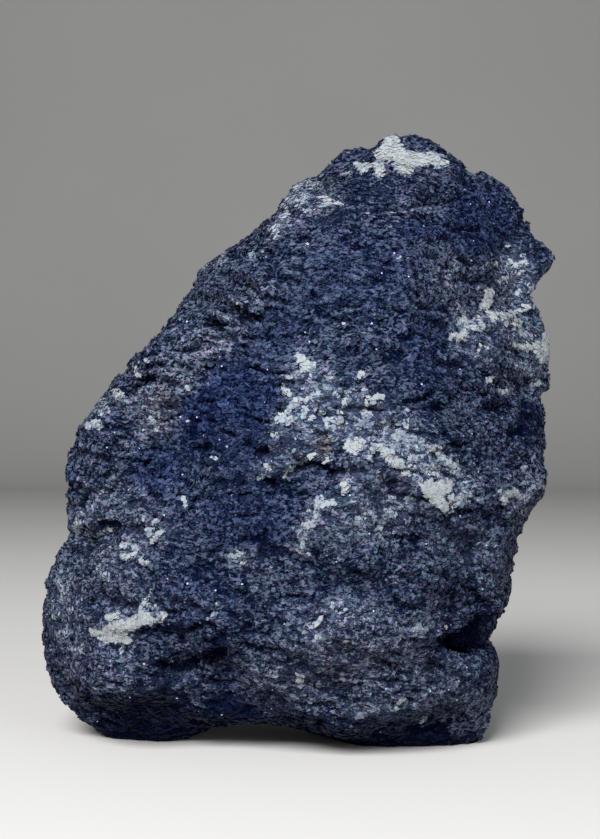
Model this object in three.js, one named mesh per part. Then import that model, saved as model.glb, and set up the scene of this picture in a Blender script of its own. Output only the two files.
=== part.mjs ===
// A hand-sized lump of rough covellite: one broken piece of massive indigo-blue ore, 60 mm tall,
// standing upright on two worn lobes of its broken base. Millimetres, +Z up, +Y towards the back.
// The origin is on the surface that it stands on, under the middle of its bounding box.
//
// The stone is one closed surface. Each direction of a sphere is carried to a point of the stone in
// four steps: an outline seen from the front, swelled to its thickness; break faces cut flat; lumps,
// ledges, pits and creases of the broken surface; and a coarse crumbly relief over all of it.

import * as THREE from 'three';
import { mergeVertices } from 'three/addons/utils/BufferGeometryUtils.js';

// ---------------------------------------------------------------- driving dimensions

const TRIANGLE_ROWS = 21; // subdivisions of each icosahedron edge: 20 * 22 * 22 = 9680 triangles
const OUTLINE_CENTRE = 29.5; // height of the point that the outline is drawn round
const HEIGHT = 60.3; // from the resting face to the top
const SHIFT = { x: -0.25, y: 0.73 }; // centres the bounding box on the origin

// Half thickness in front of and behind the rim, at the foot and at the top.
const THICKNESS = { frontFoot: 20.0, frontTop: 14.5, backFoot: 19.5, backTop: 15.0 };
const ROUNDNESS = { sides: 2.6, foot: 2.1 }; // 2 is an ellipse, more is boxier

// The outline from the front, anticlockwise from the nose on the right: [x, z].
const OUTLINE = [
  [25.9, 48.0], [24.6, 49.6], [23.3, 51.2], [22.3, 53.4], [20.6, 55.4], [18.6, 56.4], [16.6, 57.0],
  [15.0, 58.5], [13.2, 59.7], [10.8, 60.3], [8.6, 60.0], [7.4, 59.0], [4.6, 58.8], [3.2, 57.6],
  [1.8, 56.0], [-0.4, 55.4], [-1.7, 53.6], [-2.4, 51.7], [-6.0, 49.1], [-8.4, 47.4], [-10.0, 46.0],
  [-10.4, 44.2], [-11.7, 41.8], [-12.6, 39.7], [-14.0, 38.0], [-15.9, 37.4], [-18.2, 35.2],
  [-19.8, 32.6], [-21.4, 30.6], [-22.1, 28.4], [-22.2, 26.6], [-21.8, 25.0], [-22.5, 22.6],
  [-22.4, 20.6], [-23.6, 18.4], [-24.9, 15.6], [-25.4, 11.5], [-25.3, 7.8], [-24.6, 5.2],
  [-23.2, 3.0], [-21.0, 1.1], [-18.2, -0.6], [-14.5, -1.2], [-11.5, -0.2], [-8.8, 1.2], [-5.5, 2.3],
  [-2.5, 2.0], [0.5, 1.2], [4.0, 0.0], [8.0, -1.1], [12.5, -1.2], [15.8, -0.8], [18.0, 0.5],
  [18.8, 3.0], [19.3, 6.0], [19.4, 8.2], [18.7, 9.8], [19.3, 11.2], [20.3, 13.6], [20.9, 17.0],
  [21.5, 20.0], [22.7, 22.4], [24.2, 24.2], [24.4, 25.4], [23.6, 26.6], [23.7, 29.2], [24.1, 31.8],
  [23.5, 33.9], [24.9, 34.8], [24.9, 37.2], [25.0, 39.6], [24.2, 42.2], [23.2, 44.2], [24.2, 45.6],
];

// The edge of the stone follows the jagged outline; away from it the outline is rounded over
// `bodySpread` degrees and set in by `inset`, and the relief takes over, which stays inside the outline
// rounded over `limitSpread` degrees. `from` and `to` are shares of the half thickness, in front of
// and behind the rim; `relief` is the share of the relief left on the edge.
const EDGE = { from: 0.1, to: 0.42, inset: 0.9, bodySpread: 20, limitSpread: 4, relief: 0.15 };
const FOOT_RELIEF = 0.2; // share of all relief left on the resting face
const FOOT_HEIGHT = 6.0; // height at which the relief is whole again

// How far the rim stands behind (+) or before (-) the middle plane, by direction from the centre
// in degrees anticlockwise from the right: the edge of a broken stone isn't a flat ring.
const RIM_BACK = [[0, 2.0], [40, 3.0], [75, 2.5], [110, 0.5], [150, -1.5], [200, -1.0], [240, 1.8],
  [270, 0.5], [290, -0.4], [320, -1.5], [340, 0.5]];

// Break faces: everything beyond `reach` from the centre along `turn` (degrees anticlockwise from
// the right, seen from above) and `tilt` (degrees above level) is cut back, all but `left` of it.
// The cuts fade out at the edge.
const BREAK_FACES = [
  { turn: 264, tilt: 12, reach: 15.8, left: 0.3 }, // the broad upper front face
  { turn: 238, tilt: -4, reach: 17.2, left: 0.3 }, // the left front face
  { turn: 296, tilt: -10, reach: 18.6, left: 0.35 }, // the lower right front face
  { turn: 268, tilt: -38, reach: 22.6, left: 0.3 }, // the undercut of the front foot
  { turn: 318, tilt: 14, reach: 19.0, left: 0.25 }, // the right edge above the middle
  { turn: 222, tilt: 34, reach: 20.0, left: 0.25 }, // the slope of the left shoulder
  { turn: 76, tilt: 16, reach: 15.6, left: 0.2 }, // the broad upper back face
  { turn: 112, tilt: -14, reach: 17.4, left: 0.25 }, // the lower left back face
  { turn: 46, tilt: -20, reach: 18.0, left: 0.25 }, // the lower right back face
  { turn: 132, tilt: 32, reach: 18.2, left: 0.25 }, // the back of the left shoulder
  { turn: 84, tilt: 52, reach: 24.5, left: 0.2 }, // the back of the top
];

// Lumps (+) and hollows (-) of the front: centre, half sizes, turn in degrees and height.
const FRONT_LUMPS = [
  { at: [4.5, 8.0], size: [13, 8.5], turn: 8, height: 1.7 }, // belly of the right lobe
  { at: [-18.5, 10.5], size: [8.5, 9.0], turn: 0, height: 1.8 }, // belly of the left lobe
  { at: [5.0, 22.0], size: [7.5, 5.5], turn: -20, height: 0.9 }, // knob under the pale crest
  { at: [-20.0, 29.5], size: [4.0, 4.5], turn: 0, height: 0.9 }, // knob on the left edge
  { at: [-8.5, 30.5], size: [8.5, 7.5], turn: 30, height: -1.3 }, // the deep blue hollow
  { at: [20.5, 38.5], size: [5.5, 4.5], turn: -20, height: 0.9 }, // shoulder on the right edge
  { at: [22.6, 25.2], size: [2.6, 2.4], turn: 0, height: 0.7 }, // small knob lower on that edge
  { at: [2.0, 12.6], size: [5.0, 3.2], turn: 25, height: 0.7 },
  { at: [9.5, 17.0], size: [7.5, 3.6], turn: -12, height: 0.9 },
  { at: [17.0, 5.0], size: [4.5, 4.0], turn: 0, height: 0.9 },
  { at: [8.0, 46.0], size: [12, 6], turn: -10, height: 0.7 },
  { at: [-3.5, 45.0], size: [5.0, 4.0], turn: 30, height: 0.6 },
];

// Pits of the front: the same, but with steep sides.
const FRONT_PITS = [
  { at: [16.6, 11.4], size: [4.2, 2.9], turn: 22, height: -2.1 }, // the dark pocket
  { at: [-3.8, 49.0], size: [1.5, 1.1], turn: -35, height: -1.1 },
  { at: [-5.6, 43.3], size: [3.0, 2.0], turn: -35, height: -1.0 },
  { at: [-8.6, 41.6], size: [2.6, 2.0], turn: 0, height: -0.8 },
  { at: [-16.0, 35.6], size: [2.6, 2.0], turn: 30, height: -1.0 },
  { at: [-19.4, 27.4], size: [2.8, 2.2], turn: 0, height: -0.8 },
  { at: [-11.2, 8.0], size: [3.0, 2.2], turn: 10, height: -0.9 },
  { at: [22.4, 44.8], size: [2.2, 2.5], turn: 0, height: -1.2 },
  { at: [-1.8, 27.6], size: [3.0, 1.9], turn: -15, height: -0.5 },
];

// Creases (-) and crests (+) of the front: the line they follow, half width and height.
const FRONT_CREASES = [
  { along: [[-15.5, 14.0], [-11.5, 9.0], [-7.0, 6.2], [-2.0, 3.0], [0.0, 0.5]],
    width: 5.0, height: -1.8 }, // between the lobes
  { along: [[12.5, 15.0], [15.5, 13.6], [18.5, 12.2]], width: 2.4, height: -0.5 }, // runs into the pocket
  { along: [[-24.0, 19.8], [-20.5, 19.6], [-18.0, 20.6]], width: 2.4, height: -0.9 },
  { along: [[19.0, 35.3], [22.0, 34.8], [25.0, 34.8]], width: 1.6, height: -1.1 },
  { along: [[21.0, 49.5], [22.4, 46.5], [23.4, 44.8]], width: 1.5, height: -1.0 },
  { along: [[-3.5, 41.5], [-9.0, 39.6], [-15.0, 36.4]], width: 3.2, height: 1.1 }, // rounded crest
  { along: [[-22.5, 24.6], [-17.0, 27.4], [-13.5, 31.0]], width: 2.2, height: 0.6 },
];

const LEDGE = { step: 2.6, taper: 3.5 }; // width of the step down, and length of its fading ends

// Ledges of the front: the surface drops by `drop` just below the line and climbs back over `reach`.
const FRONT_LEDGES = [
  { along: [[-5.6, 26.3], [-1.6, 26.9], [1.5, 27.6], [5.0, 27.6], [9.0, 26.8], [12.2, 23.6], [15.0, 21.4],
    [19.0, 20.6]], drop: 1.0, reach: 7.0 }, // the pale crest stands on it
  { along: [[-0.5, 21.5], [1.0, 24.0], [3.5, 25.6]], drop: -0.7, reach: 4.0 },
  { along: [[7.0, 53.2], [14.0, 52.6], [17.0, 51.8], [21.5, 49.0]], drop: 0.9, reach: 4.5 },
  { along: [[-3.5, 16.4], [5.0, 18.6], [11.0, 17.6], [19.0, 14.6]], drop: 0.3, reach: 4.5 },
  { along: [[-23.0, 15.0], [-15.0, 12.6], [-7.0, 13.6]], drop: 0.8, reach: 4.0 },
];

// The back has the same kinds of break, seen from the front through the stone.
const BACK_LUMPS = [
  { at: [-9.0, 14.0], size: [12, 10], turn: -15, height: 2.0 },
  { at: [12.0, 9.0], size: [8.5, 7.5], turn: 10, height: 2.2 },
  { at: [10.0, 42.0], size: [9.0, 7.0], turn: 25, height: 1.4 },
  { at: [-14.0, 31.0], size: [6.0, 5.0], turn: 40, height: 1.3 },
  { at: [2.0, 27.0], size: [8.0, 6.0], turn: 15, height: -1.8 },
  { at: [-22.0, 16.0], size: [4.5, 4.0], turn: 0, height: 1.0 },
  { at: [20.0, 27.0], size: [4.5, 6.0], turn: 0, height: 1.1 },
];
const BACK_PITS = [
  { at: [3.5, 33.5], size: [4.0, 2.8], turn: 20, height: -1.4 },
  { at: [-5.0, 40.5], size: [3.2, 2.4], turn: -30, height: -1.1 },
  { at: [16.0, 18.5], size: [3.4, 2.4], turn: 15, height: -1.3 },
  { at: [-16.5, 22.0], size: [3.0, 2.4], turn: 0, height: -1.1 },
];
const BACK_CREASES = [
  { along: [[0.0, 2.0], [1.5, 7.0], [3.5, 13.0], [8.5, 18.0], [16.0, 20.0]], width: 3.0, height: -2.2 },
  { along: [[-20.5, 25.5], [-12.0, 25.0], [-6.0, 21.0], [0.5, 19.5]], width: 2.4, height: -1.4 },
];
const BACK_LEDGES = [
  { along: [[-15.0, 36.5], [-6.0, 34.5], [3.0, 36.5], [13.0, 34.0], [23.0, 35.5]], drop: 1.4, reach: 8.0 },
  { along: [[-4.0, 48.5], [6.0, 51.0], [15.0, 50.0], [22.0, 51.5]], drop: 1.2, reach: 6.0 },
  { along: [[-22.0, 11.5], [-12.0, 8.5], [-3.0, 9.5]], drop: 1.0, reach: 5.0 },
];

// Coarse crumbly relief: waves of noise, each with its wavelength and height.
const RELIEF = [
  { wave: 14.0, height: 1.3, seed: 11 },
  { wave: 7.0, height: 0.8, seed: 23 },
  { wave: 4.2, height: 0.4, seed: 37 },
];

// Bedding: broken ledges that follow the ore's layering, nearly level and dipping to the right. They
// come and go over `patch` millimetres.
const BEDDING = { spacing: 5.2, height: 0.4, dip: -0.16, waver: 3.0, waverWave: 15, patch: 9, seed: 51 };

// ---------------------------------------------------------------- small mathematics

const mix = (a, b, t) => a + (b - a) * t;
const clamp = (v, low, high) => Math.min(high, Math.max(low, v));
const rise = (from, to, v) => {
  const t = clamp((v - from) / (to - from), 0, 1);
  return t * t * (3 - 2 * t);
};
const radians = THREE.MathUtils.degToRad;

// Interpolates [angle, value] pairs that go once round the circle, sorted by angle in radians.
function aroundCircle(pairs, angle) {
  const turn = 2 * Math.PI;
  const a = ((angle % turn) + turn) % turn;
  const last = pairs.length - 1;
  let before = [pairs[last][0] - turn, pairs[last][1]];
  for (const pair of [...pairs, [pairs[0][0] + turn, pairs[0][1]]]) {
    if (a <= pair[0]) return mix(before[1], pair[1], (a - before[0]) / (pair[0] - before[0]));
    before = pair;
  }
  return before[1];
}

// A repeatable number from 0 to 1 for each corner of a grid of whole numbers.
function corner(i, j, k, seed) {
  let h = Math.imul(i, 374761393) ^ Math.imul(j, 668265263) ^ Math.imul(k, 1442695041);
  h = Math.imul(h ^ Math.imul(seed, 2246822519) ^ (h >>> 15), 2654435761);
  h = Math.imul(h ^ (h >>> 13), 1274126177);
  return ((h ^ (h >>> 16)) >>> 0) / 4294967295;
}

// Smooth value noise from -1 to 1.
function noise(x, y, z, seed) {
  const [i, j, k] = [Math.floor(x), Math.floor(y), Math.floor(z)];
  const [u, v, w] = [rise(0, 1, x - i), rise(0, 1, y - j), rise(0, 1, z - k)];
  const along = (b, c) => mix(corner(i, j + b, k + c, seed), corner(i + 1, j + b, k + c, seed), u);
  return 2 * mix(mix(along(0, 0), along(1, 0), v), mix(along(0, 1), along(1, 1), v), w) - 1;
}

// How [x, z] lies to an open line drawn from left to right: its distance, whether it is below the
// line, and how far the nearest point of the line is from the line's nearer end.
function placeByLine(line, x, z) {
  let nearest = { distance: Infinity };
  let run = 0;
  for (let n = 0; n + 1 < line.length; n += 1) {
    const [ax, az] = line[n];
    const [dx, dz] = [line[n + 1][0] - ax, line[n + 1][1] - az];
    const length = Math.hypot(dx, dz);
    const t = clamp(((x - ax) * dx + (z - az) * dz) / (length * length), 0, 1);
    const [ox, oz] = [x - ax - t * dx, z - az - t * dz];
    const distance = Math.hypot(ox, oz);
    const below = dx * oz - dz * ox < 0;
    if (distance < nearest.distance) nearest = { distance, below, along: run + t * length };
    run += length;
  }
  const { distance, below, along } = nearest;
  return { distance, below, fromEnd: Math.min(along, run - along) };
}

// ---------------------------------------------------------------- the outline and the body

const polar = OUTLINE.map(([x, z]) => {
  const angle = Math.atan2(z - OUTLINE_CENTRE, x);
  return [(angle + 2 * Math.PI) % (2 * Math.PI), Math.hypot(x, z - OUTLINE_CENTRE)];
}).sort((a, b) => a[0] - b[0]);
const rimBack = RIM_BACK.map(([degrees, back]) => [radians(degrees), back]);

// The outline's mean distance from its centre over `spread` degrees either way.
function roundedOutline(angle, spread) {
  let sum = 0;
  for (let n = -4; n <= 4; n += 1) sum += aroundCircle(polar, angle + radians((n * spread) / 4));
  return sum / 9;
}

// The swelled outline: for one direction of the sphere a point, its outward direction, and how much
// it belongs to the stone's edge, from 0 to 1.
function bodyPoint(d) {
  const angle = Math.atan2(d.z, d.x);
  const front = d.y < 0;
  const power = mix(ROUNDNESS.sides, ROUNDNESS.foot, rise(0.1, 0.9, -Math.sin(angle)));
  const across = Math.hypot(d.x, d.z);
  const deep = Math.abs(d.y);
  const scale = Math.pow(Math.pow(across, power) + Math.pow(deep, power), -1 / power);
  const [rim, depth] = [across * scale, deep * scale];
  const edge = rise(EDGE.to, EDGE.from, depth);
  const rounded = roundedOutline(angle, EDGE.bodySpread) - EDGE.inset;
  const reach = mix(rounded, aroundCircle(polar, angle), edge);
  const x = rim * reach * Math.cos(angle);
  const z = OUTLINE_CENTRE + rim * reach * Math.sin(angle);
  const up = clamp(z / HEIGHT, 0, 1);
  const half = front
    ? mix(THICKNESS.frontFoot, THICKNESS.frontTop, up)
    : mix(THICKNESS.backFoot, THICKNESS.backTop, up);
  const y = rim * aroundCircle(rimBack, angle) + (front ? -1 : 1) * depth * half;
  const slope = Math.pow(rim, power - 1) / reach;
  const outward = new THREE.Vector3(
    slope * Math.cos(angle),
    ((front ? -1 : 1) * Math.pow(depth, power - 1)) / half,
    slope * Math.sin(angle),
  ).normalize();
  return { point: new THREE.Vector3(x, y, z), outward, edge };
}

// Draws a point that stands out past the outline back to it.
function keepInsideOutline(point, edge) {
  const dz = point.z - OUTLINE_CENTRE;
  const angle = Math.atan2(dz, point.x);
  const reach = mix(roundedOutline(angle, EDGE.limitSpread), aroundCircle(polar, angle), edge);
  const shrink = Math.min(1, reach / Math.hypot(point.x, dz));
  point.set(point.x * shrink, point.y, OUTLINE_CENTRE + dz * shrink);
}

function cutBreakFaces(point, edge) {
  for (const face of BREAK_FACES) {
    const [turn, tilt] = [radians(face.turn), radians(face.tilt)];
    const normal = new THREE.Vector3(
      Math.cos(turn) * Math.cos(tilt), Math.sin(turn) * Math.cos(tilt), Math.sin(tilt),
    );
    const beyond = normal.x * point.x + normal.y * point.y
      + normal.z * (point.z - OUTLINE_CENTRE) - face.reach;
    const cut = (1 - face.left) * (1 - edge);
    if (beyond > 0) point.addScaledVector(normal, -beyond * cut);
  }
}

// ---------------------------------------------------------------- what stands on the surface

// How far inside an oval [x, z] is: 1 at its centre and 0 from its edge outwards.
function inside(oval, x, z) {
  const turn = radians(oval.turn);
  const [dx, dz] = [x - oval.at[0], z - oval.at[1]];
  const along = (dx * Math.cos(turn) + dz * Math.sin(turn)) / oval.size[0];
  const over = (dz * Math.cos(turn) - dx * Math.sin(turn)) / oval.size[1];
  return clamp(1 - along * along - over * over, 0, 1);
}

function sideRelief(x, z, { lumps, pits, creases, ledges }) {
  let height = 0;
  for (const lump of lumps) height += lump.height * rise(0, 1, inside(lump, x, z));
  for (const pit of pits) height += pit.height * rise(0, 0.7, inside(pit, x, z));
  for (const crease of creases) {
    const { distance } = placeByLine(crease.along, x, z);
    height += crease.height * rise(crease.width, 0, distance);
  }
  for (const ledge of ledges) {
    const { distance, below, fromEnd } = placeByLine(ledge.along, x, z);
    const step = below ? rise(0, LEDGE.step, distance) * rise(ledge.reach, 0, distance) : 0;
    height -= ledge.drop * step * rise(0, LEDGE.taper, fromEnd);
  }
  return height;
}

const FRONT = { lumps: FRONT_LUMPS, pits: FRONT_PITS, creases: FRONT_CREASES, ledges: FRONT_LEDGES };
const BACK = { lumps: BACK_LUMPS, pits: BACK_PITS, creases: BACK_CREASES, ledges: BACK_LEDGES };

function coarseRelief({ x, y, z }) {
  let height = 0;
  for (const { wave, height: tall, seed } of RELIEF) {
    height += tall * noise(x / wave, y / wave, z / wave, seed);
  }
  const [w, p] = [BEDDING.waverWave, BEDDING.patch];
  const level = z - BEDDING.dip * x + BEDDING.waver * noise(x / w, y / w, z / w, BEDDING.seed);
  const step = level / BEDDING.spacing - Math.floor(level / BEDDING.spacing);
  const strength = rise(-0.3, 0.5, noise(x / p, y / p, z / p, BEDDING.seed + 1));
  return height + BEDDING.height * strength * (step * rise(1, 0.6, step) - 0.4);
}

// ---------------------------------------------------------------- the stone

function stonePoint(direction) {
  const { point, outward, edge } = bodyPoint(direction);
  cutBreakFaces(point, edge);
  const fromFront = rise(0, 0.3, -direction.y);
  const fromBack = rise(0, 0.3, direction.y);
  const height = (coarseRelief(point)
    + (fromFront && fromFront * sideRelief(point.x, point.z, FRONT))
    + (fromBack && fromBack * sideRelief(point.x, point.z, BACK)))
    * mix(1, EDGE.relief, edge);
  point.addScaledVector(outward, height * mix(FOOT_RELIEF, 1, rise(0, FOOT_HEIGHT, point.z)));
  keepInsideOutline(point, edge);
  point.x += SHIFT.x;
  point.y += SHIFT.y;
  point.z = Math.max(point.z, 0); // worn flat where it rests
  return point;
}

function makeStone() {
  const sphere = new THREE.IcosahedronGeometry(1, TRIANGLE_ROWS);
  sphere.deleteAttribute('normal');
  sphere.deleteAttribute('uv');
  const geometry = mergeVertices(sphere, 1e-5);
  const position = geometry.getAttribute('position');
  for (let n = 0; n < position.count; n += 1) {
    const direction = new THREE.Vector3().fromBufferAttribute(position, n).normalize();
    const point = stonePoint(direction);
    position.setXYZ(n, point.x, point.y, point.z);
  }
  geometry.computeVertexNormals();
  const ore = new THREE.MeshStandardMaterial({ color: 0x23293f, roughness: 0.62, metalness: 0.15 });
  const mesh = new THREE.Mesh(geometry, ore);
  mesh.name = 'covellite_stone';
  return mesh;
}

const part = new THREE.Group();
part.name = 'rough_covellite';
part.add(makeStone());

export default part;
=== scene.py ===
import bpy
import numpy as np
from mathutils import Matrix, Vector


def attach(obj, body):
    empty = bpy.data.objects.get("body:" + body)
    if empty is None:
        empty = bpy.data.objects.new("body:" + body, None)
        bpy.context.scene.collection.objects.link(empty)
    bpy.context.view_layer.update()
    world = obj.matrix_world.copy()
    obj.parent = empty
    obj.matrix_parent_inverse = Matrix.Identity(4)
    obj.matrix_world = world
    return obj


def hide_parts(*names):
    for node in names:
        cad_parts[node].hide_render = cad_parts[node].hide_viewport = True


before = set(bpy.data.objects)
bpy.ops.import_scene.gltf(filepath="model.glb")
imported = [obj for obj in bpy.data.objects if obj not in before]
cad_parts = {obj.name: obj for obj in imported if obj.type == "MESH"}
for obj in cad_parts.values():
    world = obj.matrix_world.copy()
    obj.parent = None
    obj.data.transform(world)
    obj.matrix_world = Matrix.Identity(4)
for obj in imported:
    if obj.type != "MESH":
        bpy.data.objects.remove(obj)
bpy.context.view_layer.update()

# ------------------------------------------------------------------ the stone
# One broken lump of massive covellite ore, worn a little at its foot. It is made of fine crumbly
# indigo-blue covellite with grey quartz and clay between its grains. It broke along weak, nearly
# level layers, so its faces carry low ledges, short slots and pits.

OUTLINE_CENTRE = 29.5  # height of the point that the outline is drawn round, in millimetres
HEIGHT = 60.3
SHIFT = (-0.25, 0.73)  # centres the stone on the frame's origin
FRONT_HALF = (20.0, 14.5)  # half thickness in front of the rim, at the foot and at the top
BACK_HALF = (19.5, 15.0)
ROUND_SIDES, ROUND_FOOT = 2.6, 2.1  # 2 is an ellipse, more is boxier
ROUND_FROM, ROUND_TO = 0.1, 0.9  # how far down its roundness changes: sines of the angle from level

# The outline from the front, anticlockwise from the nose on the right: [x, z] in millimetres.
OUTLINE = [
    [25.9, 48.0], [24.6, 49.6], [23.3, 51.2], [22.3, 53.4], [20.6, 55.4], [18.6, 56.4], [16.6, 57.0],
    [15.0, 58.5], [13.2, 59.7], [10.8, 60.3], [8.6, 60.0], [7.4, 59.0], [4.6, 58.8], [3.2, 57.6],
    [1.8, 56.0], [-0.4, 55.4], [-1.7, 53.6], [-2.4, 51.7], [-6.0, 49.1], [-8.4, 47.4], [-10.0, 46.0],
    [-10.4, 44.2], [-11.7, 41.8], [-12.6, 39.7], [-14.0, 38.0], [-15.9, 37.4], [-18.2, 35.2],
    [-19.8, 32.6], [-21.4, 30.6], [-22.1, 28.4], [-22.2, 26.6], [-21.8, 25.0], [-22.5, 22.6],
    [-22.4, 20.6], [-23.6, 18.4], [-24.9, 15.6], [-25.4, 11.5], [-25.3, 7.8], [-24.6, 5.2],
    [-23.2, 3.0], [-21.0, 1.1], [-18.2, -0.6], [-14.5, -1.2], [-11.5, -0.2], [-8.8, 1.2], [-5.5, 2.3],
    [-2.5, 2.0], [0.5, 1.2], [4.0, 0.0], [8.0, -1.1], [12.5, -1.2], [15.8, -0.8], [18.0, 0.5],
    [18.8, 3.0], [19.3, 6.0], [19.4, 8.2], [18.7, 9.8], [19.3, 11.2], [20.3, 13.6], [20.9, 17.0],
    [21.5, 20.0], [22.7, 22.4], [24.2, 24.2], [24.4, 25.4], [23.6, 26.6], [23.7, 29.2], [24.1, 31.8],
    [23.5, 33.9], [24.9, 34.8], [24.9, 37.2], [25.0, 39.6], [24.2, 42.2], [23.2, 44.2], [24.2, 45.6],
]
EDGE_FROM, EDGE_TO = 0.1, 0.42  # shares of the half thickness over which the jagged edge fades out
EDGE_INSET, EDGE_RELIEF = 0.9, 0.15
BODY_SPREAD, LIMIT_SPREAD = 20, 2  # degrees either way that the outline is rounded over
FOOT_RELIEF, FOOT_HEIGHT = 0.2, 6.0
SIDE_FADE = 0.3  # how far round from the rim the forms of the front and the back reach their height

# How far the rim stands behind (+) the middle plane, by direction from the centre in degrees.
RIM_BACK = [
    (0, 2.0), (40, 3.0), (75, 2.5), (110, 0.5), (150, -1.5), (200, -1.0), (240, 1.8),
    (270, 0.5), (290, -0.4), (320, -1.5), (340, 0.5),
]

# Break faces: degrees of turn and tilt of the face's normal, its distance from the centre, and the
# share of what stands out past it that is left.
BREAK_FACES = [
    (264, 12, 15.8, 0.3), (238, -4, 17.2, 0.3), (296, -10, 18.6, 0.35), (268, -38, 22.6, 0.3),
    (318, 14, 19.0, 0.25), (222, 34, 20.0, 0.25), (76, 16, 15.6, 0.2), (112, -14, 17.4, 0.25),
    (46, -20, 18.0, 0.25), (132, 32, 18.2, 0.25), (84, 52, 24.5, 0.2),
]

# Ovals as x, z, half width, half height, turn in degrees and height: lumps and hollows, then pits.
FRONT_LUMPS = [
    (4.5, 8.0, 13, 8.5, 8, 1.7), (-18.5, 10.5, 8.5, 9.0, 0, 1.8), (5.0, 22.0, 7.5, 5.5, -20, 0.9),
    (-20.0, 29.5, 4.0, 4.5, 0, 0.9), (-8.5, 30.5, 8.5, 7.5, 30, -1.3), (20.5, 38.5, 5.5, 4.5, -20, 0.9),
    (22.6, 25.2, 2.6, 2.4, 0, 0.7), (2.0, 11.6, 5.0, 3.6, 25, 0.5), (9.5, 17.0, 7.5, 3.6, -12, 0.9),
    (17.0, 5.0, 4.5, 4.0, 0, 0.9), (8.0, 46.0, 12, 6, -10, 0.7), (-3.5, 45.0, 5.0, 4.0, 30, 0.6),
]
FRONT_PITS = [
    (17.2, 10.5, 3.4, 2.0, 22, -2.6), (-3.8, 49.0, 1.4, 1.0, -35, -1.3), (-5.6, 43.3, 2.6, 1.4, -35, -1.5),
    (-8.6, 41.6, 2.0, 1.4, 0, -1.3), (-16.0, 35.6, 2.2, 1.4, 30, -1.4), (-19.4, 27.4, 2.2, 1.4, 0, -0.9),
    (-11.2, 8.0, 2.6, 1.7, 10, -1.0), (22.4, 44.8, 1.9, 2.2, 0, -1.4), (-1.8, 27.6, 2.6, 1.4, -15, -0.9),
]
# Lines with half width and height: creases (-) and crests (+).
FRONT_CREASES = [
    ([(-15.5, 14.0), (-11.5, 9.0), (-7.0, 6.2), (-2.0, 3.0), (0.0, 0.5)], 5.0, -1.8),
    ([(12.5, 15.0), (15.5, 13.6), (18.5, 12.2)], 2.4, -0.5),
    ([(-24.0, 19.8), (-20.5, 19.6), (-18.0, 20.6)], 1.7, -1.1),
    ([(19.0, 35.3), (22.0, 34.8), (25.0, 34.8)], 1.6, -0.7),
    ([(21.0, 49.5), (22.4, 46.5), (23.4, 44.8)], 1.5, -1.0),
    ([(-3.5, 41.5), (-9.0, 39.6), (-15.0, 36.4)], 3.2, 1.1),
    ([(-22.5, 24.6), (-17.0, 27.4), (-13.5, 31.0)], 2.2, 0.6),
]
# Ledges: the surface drops by `drop` just below the line and climbs back over `reach`.
FRONT_LEDGES = [
    ([(-5.6, 26.3), (-1.6, 26.9), (1.5, 27.6), (5.0, 27.6), (9.0, 26.8), (12.2, 23.6), (15.0, 21.4),
      (19.0, 20.6)], 1.0, 7.0),
    ([(-0.5, 21.5), (1.0, 24.0), (3.5, 25.6)], -0.7, 4.0),
    ([(7.0, 53.2), (14.0, 52.6), (17.0, 51.8), (21.5, 49.0)], 0.6, 4.5),
    ([(-3.5, 16.4), (5.0, 18.6), (11.0, 17.6), (19.0, 14.6)], 0.15, 4.5),
    ([(-23.0, 15.0), (-15.0, 12.6), (-7.0, 13.6)], 0.8, 4.0),
]
BACK_LUMPS = [
    (-9.0, 14.0, 12, 10, -15, 2.0), (12.0, 9.0, 8.5, 7.5, 10, 2.2), (10.0, 42.0, 9.0, 7.0, 25, 1.4),
    (-14.0, 31.0, 6.0, 5.0, 40, 1.3), (2.0, 27.0, 8.0, 6.0, 15, -1.8), (-22.0, 16.0, 4.5, 4.0, 0, 1.0),
    (20.0, 27.0, 4.5, 6.0, 0, 1.1),
]
BACK_PITS = [
    (3.5, 33.5, 4.0, 2.8, 20, -1.4), (-5.0, 40.5, 3.2, 2.4, -30, -1.1), (16.0, 18.5, 3.4, 2.4, 15, -1.3),
    (-16.5, 22.0, 3.0, 2.4, 0, -1.1),
]
BACK_CREASES = [
    ([(0.0, 2.0), (1.5, 7.0), (3.5, 13.0), (8.5, 18.0), (16.0, 20.0)], 3.0, -2.2),
    ([(-20.5, 25.5), (-12.0, 25.0), (-6.0, 21.0), (0.5, 19.5)], 2.4, -1.4),
]
BACK_LEDGES = [
    ([(-15.0, 36.5), (-6.0, 34.5), (3.0, 36.5), (13.0, 34.0), (23.0, 35.5)], 1.4, 8.0),
    ([(-4.0, 48.5), (6.0, 51.0), (15.0, 50.0), (22.0, 51.5)], 1.2, 6.0),
    ([(-22.0, 11.5), (-12.0, 8.5), (-3.0, 9.5)], 1.0, 5.0),
]
LEDGE_STEP, LEDGE_TAPER = 1.6, 3.5  # width of the step down, and length of its fading ends
PIT_FLOOR = 0.7  # share of a pit's shape at which its floor begins

# Coarse relief: wavelength, height and seed of each wave of noise; then the bedding, whose steps
# waver, come and go in patches, and have a rounded lip.
COARSE = [(14.0, 1.3, 11), (7.0, 0.8, 23), (4.2, 0.4, 37)]
BED_SPACING, BED_HEIGHT, BED_DIP, BED_SEED = 5.2, 0.4, -0.16, 51
BED_WAVER, BED_WAVER_WAVE = 3.0, 15
BED_PATCH, BED_PATCH_FROM, BED_PATCH_TO = 9, -0.3, 0.5
BED_LIP, BED_LEVEL = 0.6, 0.4

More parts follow.
